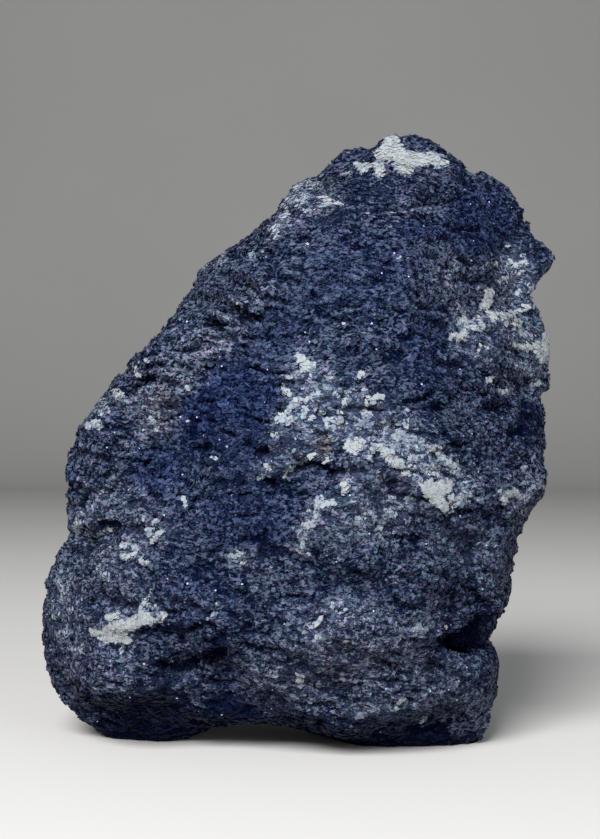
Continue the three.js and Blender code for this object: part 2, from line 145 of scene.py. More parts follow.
# Fine relief: crumbs (width, height and relief of each size, seed), noise (wavelength, height, seed),
# and slots along the bedding (length, height and depth of each size, seed).
CRUMBS = [(1.2, 0.9, 0.13, 61), (0.75, 0.55, 0.17, 67)]
ROUGH = [(2.6, 0.06, 71), (0.65, 0.12, 73)]
SLOTS = [(1.7, 0.55, 0.5, 83), (1.0, 0.42, 0.35, 89)]
SLOT_FROM, SLOT_TO = 0.26, 0.62  # the noise over which a slot sinks to its depth
FINE_WAVER, FINE_WAVER_WAVE, FINE_WAVER_SEED = 0.5, 3.1, 97
CRUMB_STRAY, CRUMB_STEEP, CRUMB_LEVEL = 0.8, 1.6, 0.6
CRUMB_LEAST, CRUMB_RANGE = 0.6, 0.8  # shares of its relief that the least crumb has, and the others add
GAP_FROM, GAP_TO = 0.1, -0.35  # heights between which the gaps between crumbs deepen, and their painted shade grows


def unit(vectors):
    """The vectors at length 1."""
    return vectors / np.linalg.norm(vectors, axis=1)[:, None]


def rise(start, end, value):
    """An eased step: 0 before start, 1 after end, 3t^2 - 2t^3 between."""
    t = np.clip((value - start) / (end - start), 0, 1)
    return t * t * (3 - 2 * t)


def corner(i, j, k, seed):
    """A repeatable number from 0 to 1 for each corner of a grid of whole numbers, by hashing."""
    i, j, k = (a.astype(np.int64).astype(np.uint32) for a in (i, j, k))
    h = i * np.uint32(374761393) ^ j * np.uint32(668265263) ^ k * np.uint32(1442695041)
    mixed = np.uint32((seed * 2246822519) & 0xFFFFFFFF)
    h = (h ^ mixed ^ (h >> np.uint32(15))) * np.uint32(2654435761)
    h = (h ^ (h >> np.uint32(13))) * np.uint32(1274126177)
    return (h ^ (h >> np.uint32(16))) / 4294967295.0


def noise(x, y, z, seed):
    """Value noise from -1 to 1: eased interpolation between the eight corners of a unit cell."""
    i, j, k = np.floor(x), np.floor(y), np.floor(z)
    u, v, w = rise(0, 1, x - i), rise(0, 1, y - j), rise(0, 1, z - k)

    def along(b, c):
        low, high = corner(i, j + b, k + c, seed), corner(i + 1, j + b, k + c, seed)
        return low + (high - low) * u

    near = along(0, 0) * (1 - v) + along(1, 0) * v
    far = along(0, 1) * (1 - v) + along(1, 1) * v
    return 2 * (near * (1 - w) + far * w) - 1


def by_line(line, x, z):
    """Distance to an open line, whether the point is below it, and how far along it is from an end."""
    distance = np.full(x.shape, np.inf)
    below = np.zeros(x.shape, bool)
    at = np.zeros(x.shape)
    run = 0.0
    for (ax, az), (bx, bz) in zip(line, line[1:]):
        dx, dz = bx - ax, bz - az
        length = np.hypot(dx, dz)
        t = np.clip(((x - ax) * dx + (z - az) * dz) / length**2, 0, 1)
        ox, oz = x - ax - t * dx, z - az - t * dz
        here = np.hypot(ox, oz)
        nearer = here < distance
        distance = np.where(nearer, here, distance)
        below = np.where(nearer, dx * oz - dz * ox < 0, below)
        at = np.where(nearer, run + t * length, at)
        run += length
    return distance, below, np.minimum(at, run - at)


def inside(oval, x, z):
    """1 at the middle of an oval, falling to 0 at its edge as 1 - r^2."""
    turn = np.radians(oval[4])
    dx, dz = x - oval[0], z - oval[1]
    along = (dx * np.cos(turn) + dz * np.sin(turn)) / oval[2]
    over = (dz * np.cos(turn) - dx * np.sin(turn)) / oval[3]
    return np.clip(1 - along**2 - over**2, 0, 1)


outline = np.array(OUTLINE)
outline_angle = np.arctan2(outline[:, 1] - OUTLINE_CENTRE, outline[:, 0]) % (2 * np.pi)
outline_reach = np.hypot(outline[:, 0], outline[:, 1] - OUTLINE_CENTRE)
rim_angle, rim_back = np.radians([a for a, _ in RIM_BACK]), [b for _, b in RIM_BACK]


def jagged(angle):
    """The outline's distance from its centre, straight between its points."""
    return np.interp(angle, outline_angle, outline_reach, period=2 * np.pi)


def rounded(angle, spread):
    """The mean of the outline's distance over `spread` degrees either way."""
    return np.mean([jagged(angle + np.radians(n * spread / 4)) for n in range(-4, 5)], axis=0)


def body(d):
    """Carries directions to the swelled outline: a superellipse from the outline to the half thickness.

    Gives the points, their outward directions and how much each belongs to the edge."""
    angle = np.arctan2(d[:, 2], d[:, 0])
    front = d[:, 1] < 0
    side = np.where(front, -1.0, 1.0)
    power = ROUND_SIDES + (ROUND_FOOT - ROUND_SIDES) * rise(ROUND_FROM, ROUND_TO, -np.sin(angle))
    across, deep = np.hypot(d[:, 0], d[:, 2]), np.abs(d[:, 1])
    scale = (across**power + deep**power) ** (-1 / power)
    rim, depth = across * scale, deep * scale
    edge = rise(EDGE_TO, EDGE_FROM, depth)
    smooth = rounded(angle, BODY_SPREAD) - EDGE_INSET
    reach = smooth + (jagged(angle) - smooth) * edge
    x, z = rim * reach * np.cos(angle), OUTLINE_CENTRE + rim * reach * np.sin(angle)
    up = np.clip(z / HEIGHT, 0, 1)
    half = np.where(
        front,
        FRONT_HALF[0] + (FRONT_HALF[1] - FRONT_HALF[0]) * up,
        BACK_HALF[0] + (BACK_HALF[1] - BACK_HALF[0]) * up,
    )
    y = rim * np.interp(angle, rim_angle, rim_back, period=2 * np.pi) + side * depth * half
    slope = rim ** (power - 1) / reach
    outward = np.stack([slope * np.cos(angle), side * depth ** (power - 1) / half, slope * np.sin(angle)], 1)
    return np.stack([x, y, z], 1), unit(outward), edge


def cut_break_faces(p, edge):
    """Flattens what stands out past each break face, but for its share that is left."""
    for turn, tilt, reach, left in BREAK_FACES:
        a, b = np.radians(turn), np.radians(tilt)
        normal = np.array([np.cos(a) * np.cos(b), np.sin(a) * np.cos(b), np.sin(b)])
        beyond = np.maximum(p @ normal - OUTLINE_CENTRE * normal[2] - reach, 0)
        p = p - (beyond * (1 - left) * (1 - edge))[:, None] * normal
    return p


def side_relief(x, z, lumps, pits, creases, ledges):
    """Height of one side's named forms: sums of eased ovals, eased bands along lines, and ledges."""
    height = np.zeros(x.shape)
    for lump in lumps:
        height += lump[5] * rise(0, 1, inside(lump, x, z))
    for pit in pits:
        height += pit[5] * rise(0, PIT_FLOOR, inside(pit, x, z))
    for line, width, tall in creases:
        height += tall * rise(width, 0, by_line(line, x, z)[0])
    for line, drop, reach in ledges:
        distance, below, from_end = by_line(line, x, z)
        step = rise(0, LEDGE_STEP, distance) * rise(reach, 0, distance) * below
        height -= drop * step * rise(0, LEDGE_TAPER, from_end)
    return height


def coarse_relief(x, y, z):
    """Sums of noise, and a sawtooth of bedding that comes and goes."""
    height = sum(tall * noise(x / wave, y / wave, z / wave, seed) for wave, tall, seed in COARSE)
    w, b = BED_WAVER_WAVE, BED_PATCH
    level = (z - BED_DIP * x + BED_WAVER * noise(x / w, y / w, z / w, BED_SEED)) / BED_SPACING
    step = level - np.floor(level)
    strength = rise(BED_PATCH_FROM, BED_PATCH_TO, noise(x / b, y / b, z / b, BED_SEED + 1))
    return height + BED_HEIGHT * strength * (step * rise(1, BED_LIP, step) - BED_LEVEL)


def coarse_stone(d):
    """The stone's coarse surface for unit directions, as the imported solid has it, in millimetres."""
    p, outward, edge = body(d)
    p = cut_break_faces(p, edge)
    x, y, z = p.T
    in_front = side_relief(x, z, FRONT_LUMPS, FRONT_PITS, FRONT_CREASES, FRONT_LEDGES)
    behind = side_relief(x, z, BACK_LUMPS, BACK_PITS, BACK_CREASES, BACK_LEDGES)
    height = coarse_relief(x, y, z)
    height += rise(0, SIDE_FADE, -d[:, 1]) * in_front
    height += rise(0, SIDE_FADE, d[:, 1]) * behind
    height *= 1 + (EDGE_RELIEF - 1) * edge
    p = p + outward * (height * (FOOT_RELIEF + (1 - FOOT_RELIEF) * rise(0, FOOT_HEIGHT, z)))[:, None]
    dz = p[:, 2] - OUTLINE_CENTRE
    angle = np.arctan2(dz, p[:, 0])
    limit = rounded(angle, LIMIT_SPREAD) * (1 - edge) + jagged(angle) * edge
    shrink = np.minimum(1, limit / np.hypot(p[:, 0], dz))
    p[:, 0] *= shrink
    p[:, 2] = OUTLINE_CENTRE + dz * shrink
    return p + [SHIFT[0], SHIFT[1], 0]


def crumb_cells(x, y, z, seed):
    """Round crumbs: one centre strays in each unit cell, and a crumb falls as r^2 from its centre.

    Gives the height from 0 to 1, and a number from 0 to 1 for the crumb that each point is on."""
    i, j, k = np.floor(x), np.floor(y), np.floor(z)
    nearest, shade = np.full(x.shape, np.inf), np.zeros(x.shape)
    for n in np.ndindex(3, 3, 3):
        a, b, c = i + n[0] - 1, j + n[1] - 1, k + n[2] - 1
        dx = a + 0.5 + CRUMB_STRAY * (corner(a, b, c, seed) - 0.5) - x
        dy = b + 0.5 + CRUMB_STRAY * (corner(a, b, c, seed + 1) - 0.5) - y
        dz = c + 0.5 + CRUMB_STRAY * (corner(a, b, c, seed + 2) - 0.5) - z
        away = dx * dx + dy * dy + dz * dz
        shade = np.where(away < nearest, corner(a, b, c, seed + 3), shade)
        nearest = np.minimum(away, nearest)
    return np.clip(1 - CRUMB_STEEP * nearest, 0, 1), shade


def fine_relief(x, y, z):
    """Height of the crumb, how deep in a gap each point is from 0 to 1, which is painted as shade, and its
    crumb's shade.
    """
    w = FINE_WAVER_WAVE
    bed = z - BED_DIP * x + FINE_WAVER * noise(x / w, y / w, z / w, FINE_WAVER_SEED)
    height, shade = np.zeros(x.shape), np.zeros(x.shape)
    for wide, tall, proud, seed in CRUMBS:
        top, number = crumb_cells(x / wide, y / wide, bed / tall, seed)
        height += proud * (top - CRUMB_LEVEL) * (CRUMB_LEAST + CRUMB_RANGE * number)
        shade += number / len(CRUMBS)
    for wave, tall, seed in ROUGH:
        height += tall * noise(x / wave, y / wave, z / wave, seed)
    gap_shade = rise(GAP_FROM, GAP_TO, height)
    for long, tall, depth, seed in SLOTS:
        deep = rise(SLOT_FROM, SLOT_TO, noise(x / long, y / long, bed / tall, seed))
        height = height - depth * deep
        gap_shade = np.maximum(gap_shade, deep)
    return height, gap_shade, shade


# Crusts on the front, drawn as strokes in the plane of the rim: cover at the middle of the stroke, half
# width, then x, z of each point that it runs through, in millimetres. Over 1 is solid white.
WHITE = [
    (1.3, 0.9, 9.3, 59.0, 9.7, 57.9), (1.3, 0.8, 8.3, 58.2, 10.5, 57.6, 12.2, 57.5),
    (1.25, 0.65, 12.2, 57.6, 13.7, 57.6), (1.2, 0.35, 13.5, 57.2, 13.8, 56.8),
    (1.2, 0.3, 14.3, 57.5, 14.5, 57.3), (1.25, 0.6, 7.8, 56.8, 8.0, 56.3),
    (1.25, 0.4, 5.8, 57.0, 6.2, 56.5, 6.8, 56.9), (1.2, 0.35, 10.2, 56.8, 10.8, 56.5),
    (1.0, 0.2, 4.2, 56.0, 4.9, 56.2), (0.95, 0.3, 0.6, 55.3, 1.8, 55.1), (0.9, 0.35, -0.8, 54.5, 0.4, 54.8),
    (0.95, 0.4, -0.9, 53.6, -0.1, 53.2, 0.6, 54.0), (1.05, 0.3, 2.1, 53.6, 3.0, 53.3, 4.0, 53.2),
    (1.0, 0.2, 2.2, 52.8, 3.2, 53.0), (0.95, 0.25, 0.6, 52.6, 1.2, 52.7),
    (1.0, 0.3, -1.6, 52.9, -1.3, 52.2, -1.8, 51.6), (1.0, 0.3, -2.9, 50.7, -2.0, 50.9),
    (0.95, 0.3, -2.6, 49.9, -2.2, 50.2), (0.8, 0.3, -1.6, 50.7, -0.9, 51.0),
    (1.1, 0.14, 0.4, 48.8, 0.8, 49.2), (1.1, 0.15, 6.8, 52.2, 6.9, 52.1), (0.9, 0.15, 9.1, 52.3, 9.5, 52.5),
    (1.0, 0.12, 9.7, 47.4, 9.9, 47.8), (0.9, 0.12, 4.0, 40.8, 4.7, 41.0),
    (1.15, 0.28, 4.1, 40.8, 4.5, 40.9), (1.25, 0.5, 0.0, 37.7, 0.6, 37.1, 1.0, 36.9),
    (1.15, 0.32, 6.0, 36.0, 6.5, 35.9), (1.0, 0.2, -1.9, 35.9, -0.8, 35.7, 0.2, 36.3),
    (1.0, 0.22, -1.6, 35.2, -1.6, 34.3, -1.1, 33.9), (0.8, 0.3, 0.9, 35.3, 1.5, 35.2),
    (1.0, 0.28, -0.4, 33.3, 0.6, 33.6, 1.8, 33.9), (0.95, 0.25, -0.5, 33.2, -0.9, 32.2),
    (0.9, 0.3, 0.4, 33.0, 0.6, 32.0), (0.85, 0.25, 2.4, 36.0, 2.9, 35.5),
    (0.95, 0.25, -2.2, 31.6, -1.1, 31.3, -0.4, 31.9), (0.9, 0.2, 1.3, 31.7, 1.4, 32.6),
    (0.9, 0.2, 2.1, 32.3, 2.3, 31.9), (0.95, 0.3, 2.7, 31.5, 3.2, 30.9, 3.4, 31.5),
    (1.05, 0.22, 3.4, 34.3, 3.6, 33.9), (0.95, 0.25, 4.3, 33.3, 4.9, 33.8, 5.6, 34.2),
    (1.05, 0.25, 7.2, 33.2, 7.8, 33.9, 8.3, 33.7), (0.9, 0.15, 6.5, 34.5, 6.9, 34.4),
    (0.85, 0.35, 4.1, 31.2, 4.8, 31.6), (0.85, 0.4, 6.4, 31.0, 6.8, 32.0),
    (0.85, 0.3, 8.8, 30.3, 9.0, 31.4), (0.95, 0.2, 10.7, 31.4, 10.9, 32.9),
    (0.9, 0.35, 9.9, 30.2, 10.6, 30.9), (1.1, 0.45, 4.7, 28.9, 5.3, 28.5, 5.6, 28.9),
    (1.0, 0.3, 5.9, 29.5, 6.4, 29.2), (1.1, 0.25, 6.6, 28.1, 6.8, 27.8),
    (1.1, 0.38, 7.3, 28.5, 7.9, 28.8, 8.6, 28.1), (1.25, 0.5, 9.0, 27.8, 9.8, 27.2),
    (1.1, 0.35, 10.6, 26.4, 10.7, 25.7), (0.85, 0.5, 9.9, 29.6, 11.2, 29.3, 12.3, 29.2),
    (0.8, 0.4, 9.0, 29.3, 9.8, 28.6), (0.85, 0.35, 11.0, 28.0, 11.8, 27.3),
    (1.05, 0.2, 13.2, 28.4, 13.8, 28.7), (1.1, 0.4, 14.9, 27.2, 15.5, 27.0),
    (0.95, 0.4, 13.9, 27.9, 14.5, 27.3), (0.8, 0.35, 12.0, 26.8, 13.2, 26.8, 13.6, 26.0),
    (0.9, 0.35, 11.6, 26.0, 12.2, 25.2), (0.8, 0.4, 15.2, 26.3, 16.3, 25.9),
    (1.3, 0.75, 12.8, 24.6, 13.6, 23.9, 14.4, 24.8), (1.3, 0.5, 13.6, 23.4, 14.3, 23.0),
    (1.15, 0.4, 14.3, 23.2, 15.6, 23.7, 16.6, 23.9), (1.15, 0.25, 14.5, 22.3, 15.2, 22.4),
    (1.0, 0.25, 15.2, 22.8, 16.8, 23.2), (0.9, 0.3, 10.3, 23.2, 10.9, 23.6),
    (1.3, 0.42, 4.4, 25.0, 4.5, 24.7), (1.15, 0.3, 0.3, 27.4, 0.9, 27.7, 1.5, 28.1),
    (1.1, 0.28, 2.4, 27.6, 2.8, 27.7), (1.1, 0.16, 3.4, 27.8, 3.5, 27.7),
    (1.05, 0.3, -3.4, 26.8, -3.2, 26.5), (1.05, 0.16, -1.9, 26.3, -1.0, 26.7, -0.6, 27.1),
    (0.9, 0.25, -3.9, 25.8, -3.5, 26.0), (1.0, 0.14, -3.0, 28.7, -2.9, 28.7),
    (0.8, 0.25, -2.4, 29.3, -2.2, 29.8), (0.9, 0.15, 1.0, 34.0, 1.6, 34.1),
    (0.95, 0.35, 0.1, 18.9, 0.1, 20.0, 0.4, 21.1), (1.0, 0.35, 0.5, 21.0, 1.5, 21.4),
    (1.05, 0.32, 0.9, 22.2, 1.5, 21.9), (1.0, 0.38, 1.9, 22.9, 2.6, 23.1, 3.3, 23.3),
    (0.9, 0.25, 1.7, 23.6, 2.5, 24.0), (1.15, 0.2, 7.8, 19.9, 8.3, 19.4, 8.8, 19.4),
    (0.95, 0.2, 7.4, 20.9, 8.4, 20.5, 9.4, 20.4), (0.9, 0.3, 7.6, 21.3, 8.4, 21.2),
    (0.85, 0.25, 5.6, 21.6, 6.2, 20.6), (0.85, 0.35, 6.8, 22.2, 7.4, 22.0),
    (0.9, 0.3, 8.8, 22.4, 9.5, 22.0), (0.85, 0.3, 9.2, 23.6, 10.0, 23.2),
    (1.2, 0.4, 19.9, 24.1, 20.2, 23.2), (1.2, 0.32, 20.0, 23.9, 21.3, 24.1, 22.3, 23.8),
    (1.3, 0.3, 18.2, 42.9, 18.5, 42.7, 18.8, 43.3), (1.27, 0.18, 18.4, 43.4, 18.7, 44.4),
    (1.27, 0.2, 18.9, 43.8, 19.2, 44.4), (1.12, 0.18, 16.0, 42.3, 16.4, 42.1),
    (1.07, 0.4, 15.5, 41.1, 16.5, 41.4), (1.12, 0.35, 16.6, 41.2, 17.4, 40.6),
    (1.3, 0.38, 15.3, 39.8, 16.0, 39.9, 16.4, 40.2), (1.02, 0.3, 17.6, 41.0, 18.1, 41.0),
    (1.22, 0.2, 18.9, 42.0, 20.3, 41.9, 21.4, 42.2, 22.6, 42.7), (1.27, 0.3, 22.4, 42.9, 22.8, 42.7),
    (1.07, 0.3, 19.2, 41.6, 20.6, 41.4), (1.17, 0.22, 21.3, 41.8, 21.6, 41.0),
    (1.12, 0.18, 22.0, 41.3, 21.9, 41.0), (0.97, 0.4, 22.2, 40.4, 22.9, 40.0),
    (1.07, 0.2, 21.2, 47.8, 20.9, 46.8), (1.12, 0.22, 22.2, 47.9, 22.4, 47.1, 21.5, 46.7),
    (1.12, 0.2, 21.6, 46.2, 22.6, 46.1), (1.07, 0.2, 20.1, 45.3, 20.9, 45.9),
    (1.12, 0.22, 22.9, 45.4, 23.1, 44.7, 23.0, 43.8), (1.27, 0.25, 21.6, 39.2, 22.6, 38.5, 23.6, 39.1),
    (1.3, 0.5, 24.5, 39.6, 24.6, 37.6), (1.3, 0.4, 23.7, 38.6, 24.3, 37.5),
    (1.3, 0.2, 18.6, 35.4, 19.3, 35.9), (1.3, 0.24, 19.9, 34.2, 20.4, 34.5, 20.8, 34.0),
    (1.27, 0.25, 23.4, 34.9, 23.9, 35.0), (1.07, 0.13, 22.1, 36.6, 23.2, 36.0),
    (1.07, 0.18, 24.9, 35.7, 25.0, 35.0), (1.07, 0.18, 18.0, 39.0, 19.2, 38.7),
    (0.97, 0.18, 17.1, 38.1, 17.5, 38.4), (1.12, 0.16, 20.4, 48.8, 20.8, 49.0),
    (1.12, 0.13, 18.6, 47.0, 19.8, 47.2), (1.1, 0.36, -18.4, 34.4, -18.0, 33.8),
    (1.0, 0.28, -19.8, 33.4, -19.3, 32.6), (0.95, 0.2, -20.3, 32.8, -20.0, 32.1),
    (1.0, 0.32, -21.1, 31.0, -20.4, 31.4), (1.1, 0.16, -20.3, 30.9, -19.9, 30.9),
    (1.1, 0.14, -15.9, 37.3, -15.2, 37.4), (1.1, 0.25, -16.3, 36.3, -16.1, 36.1),
    (0.95, 0.2, -20.0, 24.3, -19.2, 24.2), (0.95, 0.3, -22.2, 21.9, -21.8, 22.0, -22.1, 20.9),
    (0.85, 0.25, -22.2, 20.6, -22.2, 19.8), (1.0, 0.2, -20.5, 19.9, -19.7, 20.5, -18.9, 20.4),
    (1.05, 0.2, -20.7, 22.9, -20.5, 22.7), (0.9, 0.25, -15.9, 22.1, -15.5, 21.5),
    (1.0, 0.22, -14.5, 21.6, -14.4, 21.2), (1.1, 0.16, -13.8, 22.4, -13.6, 22.4),
    (1.0, 0.3, -13.9, 20.2, -14.5, 19.5), (0.9, 0.3, -15.1, 20.6, -15.0, 20.0),
    (0.95, 0.32, -17.8, 18.9, -17.0, 19.3, -16.3, 18.8), (1.15, 0.26, -17.4, 17.8, -16.4, 18.0),
    (1.15, 0.26, -15.9, 17.7, -15.3, 17.3), (1.05, 0.16, -15.0, 16.9, -14.9, 16.8),
    (0.8, 0.45, -19.9, 16.6, -19.5, 15.8), (0.95, 0.3, -24.1, 15.2, -23.4, 14.9, -23.6, 13.9),
    (1.0, 0.2, -24.8, 11.9, -23.5, 12.2), (0.95, 0.2, -21.8, 13.6, -21.6, 13.5),
    (0.9, 0.25, -24.2, 10.0, -22.8, 10.7), (0.9, 0.22, -23.3, 8.6, -22.0, 8.9),
    (1.1, 0.2, -21.6, 9.1, -21.3, 9.1), (1.1, 0.14, -19.9, 12.7, -19.2, 12.2),
    (1.25, 0.25, -19.2, 11.8, -18.0, 11.9), (1.3, 0.42, -20.4, 10.2, -18.5, 9.8, -17.2, 9.7),
    (1.3, 0.6, -19.3, 10.4, -17.2, 11.0), (1.3, 0.6, -17.2, 11.0, -15.4, 11.9),
    (1.2, 0.3, -15.3, 11.2, -13.5, 12.0), (1.15, 0.3, -15.6, 12.8, -15.3, 13.4),
    (1.15, 0.2, -15.3, 13.4, -15.1, 14.4), (1.05, 0.1, -14.4, 12.7, -13.3, 12.8),
    (0.9, 0.2, -17.7, 8.9, -17.8, 8.0), (1.15, 0.14, -11.6, 13.6, -11.4, 13.5),
    (1.15, 0.18, -8.6, 13.5, -8.5, 13.3), (1.0, 0.14, -9.2, 11.8, -8.4, 12.2),
    (1.15, 0.14, -9.3, 13.3, -9.2, 13.2), (1.2, 0.25, -5.9, 18.1, -5.3, 17.9, -5.8, 17.3),
    (0.95, 0.16, -7.0, 17.8, -6.4, 17.7), (1.2, 0.16, -11.6, 23.4, -11.2, 22.6),
    (1.0, 0.25, 0.3, 10.3, 1.0, 10.9, 2.0, 11.7), (0.9, 0.2, 3.9, 12.0, 4.4, 12.6),
    (0.9, 0.22, 4.6, 11.6, 5.3, 11.9), (0.9, 0.25, 1.4, 10.0, 2.0, 9.9), (0.85, 0.2, 3.2, 13.2, 3.3, 12.4),
    (0.9, 0.2, 5.9, 12.7, 6.5, 13.1), (0.9, 0.25, 11.3, 10.3, 12.2, 10.8, 13.1, 10.4),
    (1.2, 0.14, 4.5, 9.3, 4.5, 9.0), (1.2, 0.12, 9.8, 9.4, 9.9, 9.4), (1.15, 0.14, 14.5, 10.8, 14.6, 10.6),
    (1.2, 0.14, 4.0, 5.6, 4.1, 5.6), (1.2, 0.14, 5.0, 4.0, 5.1, 4.0), (1.1, 0.24, -0.2, 6.0, 0.0, 5.9),
    (1.1, 0.3, 0.0, 5.4, 0.1, 5.1), (0.85, 0.3, 0.1, 4.0, 1.0, 4.8), (1.15, 0.2, 10.0, 3.4, 10.3, 3.6),
    (1.0, 0.12, 10.0, 4.0, 10.0, 4.4), (0.9, 0.14, 15.5, 4.9, 15.7, 5.2), (1.1, 0.18, 4.3, 2.4, 4.5, 2.5),
    (0.85, 0.18, 1.8, 2.5, 3.8, 2.5), (0.9, 0.3, 5.6, 2.0, 7.3, 2.6), (0.9, 0.2, 8.7, 2.5, 9.6, 2.6),
    (1.05, 0.18, 11.2, 0.7, 11.8, 1.3, 12.8, 1.7), (1.1, 0.14, -7.3, 28.9, -7.2, 28.9),
    (1.1, 0.14, -8.7, 27.7, -8.5, 27.7), (1.1, 0.13, -11.3, 34.8, -11.1, 34.7),
    (1.1, 0.18, -12.3, 32.2, -12.0, 31.9), (1.1, 0.15, -11.2, 31.5, -11.1, 31.3),
    (1.1, 0.14, -9.6, 30.1, -9.5, 30.1), (1.0, 0.16, -14.6, 30.7, -14.4, 30.7),
    (1.0, 0.16, -15.0, 31.7, -14.9, 31.7), (0.95, 0.25, -10.6, 46.4, -9.4, 47.2),
    (0.85, 0.3, -8.4, 46.9, -7.4, 48.3), (0.75, 0.25, -5.4, 47.6, -4.4, 48.6, -3.6, 48.4),
    (0.9, 0.14, -12.1, 41.8, -12.0, 41.5),
]
# Grey film over the ore, as strokes of the same kind: thin quartz and clay with white specks in it.
FILM = [
    (0.8, 2.0, 0.8, 35.8, 0.2, 33.2, -1.0, 30.8), (0.8, 1.5, 2.6, 35.6, 3.6, 32.0),
    (1.0, 1.8, 3.6, 31.2, 7.2, 31.3), (1.0, 1.8, 6.0, 29.6, 10.4, 29.4), (0.85, 1.2, 4.2, 33.4, 8.2, 33.0),
    (0.8, 1.4, -0.6, 32.4, 3.0, 31.2), (0.9, 1.9, 10.4, 29.0, 12.6, 26.6, 14.6, 25.0),
    (0.8, 1.4, 14.0, 27.0, 16.4, 24.6), (0.6, 1.6, -2.2, 29.0, 2.0, 29.6),
    (0.5, 1.0, -4.2, 26.0, -0.8, 27.2), (0.75, 0.9, 0.2, 18.6, 0.4, 21.0, 2.6, 23.4),
    (0.6, 2.4, 3.2, 21.0, 5.0, 22.6), (0.75, 2.2, 7.2, 21.4, 9.6, 22.4),
    (0.55, 1.2, 10.6, 24.0, 12.4, 22.4), (0.55, 1.6, 5.0, 25.6, 9.6, 25.2),
    (0.5, 1.6, -0.2, 54.4, 2.6, 53.4), (0.6, 1.1, -2.6, 50.8, -0.4, 51.4),
    (0.9, 1.5, 21.6, 47.6, 21.9, 44.6), (0.7, 1.4, 20.6, 43.4, 22.6, 43.6),
    (0.65, 1.4, 16.2, 41.2, 19.6, 41.2, 22.0, 41.0), (0.6, 1.5, 21.4, 40.0, 23.6, 40.2),
    (0.45, 1.2, 16.2, 38.9, 20.2, 38.6), (0.45, 1.0, 21.8, 37.4, 23.8, 36.6),
    (0.6, 1.3, -20.8, 32.2, -19.4, 33.2), (0.45, 1.6, -15.4, 33.4, -15.2, 30.6),
    (0.6, 1.5, -21.9, 21.8, -22.0, 20.0), (0.3, 2.0, -19.2, 23.8, -16.0, 22.0),
    (0.55, 1.9, -16.4, 19.4, -14.8, 20.6), (0.35, 2.2, -19.4, 17.4, -17.6, 15.4),
    (0.6, 1.6, -23.8, 15.2, -23.4, 12.4), (0.4, 1.6, -24.0, 11.6, -22.4, 8.2),
    (0.3, 1.4, -18.6, 8.0, -17.0, 6.6), (0.75, 1.6, -18.6, 10.6, -15.4, 12.2),
    (0.6, 1.8, 1.6, 10.6, 3.8, 12.2), (0.5, 1.6, 4.6, 12.4, 6.6, 12.4), (0.4, 1.4, 11.0, 10.4, 13.0, 10.4),
    (0.45, 1.3, 0.2, 4.0, 2.6, 4.2), (0.7, 1.2, 5.6, 2.4, 9.8, 2.6), (0.3, 1.8, 11.0, 3.4, 16.0, 5.0),
    (0.3, 1.2, -11.4, 13.2, -8.6, 12.4), (0.4, 1.0, -6.6, 17.6, -5.2, 17.8),
    (0.4, 0.9, 20.8, 23.8, 22.8, 23.8), (0.3, 2.2, 16.0, 19.6, 19.0, 17.0),
    (0.35, 1.2, 13.6, 18.6, 16.4, 20.0), (0.4, 2.4, 0.0, 7.4, 6.0, 7.8, 11.0, 6.4),
    (0.35, 2.0, -3.6, 4.4, -1.0, 4.6), (0.3, 2.0, 15.5, 7.0, 17.0, 4.0),
]
# The back, which carries the same crusts: ovals.
BACK_CRUSTS = [
    (-6.0, 45.0, 3.4, 1.6, 30, 0.75), (8.5, 52.0, 3.2, 1.3, -10, 1.2), (14.0, 38.0, 4.0, 2.0, 25, 0.7),
    (12.5, 37.0, 1.6, 0.9, 20, 1.2), (-11.0, 30.0, 3.4, 2.4, -35, 0.66), (-9.6, 28.8, 1.5, 0.8, -30, 1.2),
    (2.0, 22.0, 4.6, 2.4, 15, 0.7), (4.4, 21.2, 1.8, 1.0, 10, 1.2), (-15.0, 13.0, 3.0, 2.2, 0, 0.66),
    (-14.2, 12.2, 1.3, 0.7, 20, 1.15), (13.0, 10.0, 3.2, 2.0, -20, 0.6), (18.0, 26.0, 1.2, 2.4, 0, 0.8),
    (-3.0, 8.0, 2.6, 1.4, 10, 0.5), (3.0, 34.0, 0.7, 0.5, 0, 1.1), (-19.0, 22.0, 0.8, 0.6, 0, 1.1),
]
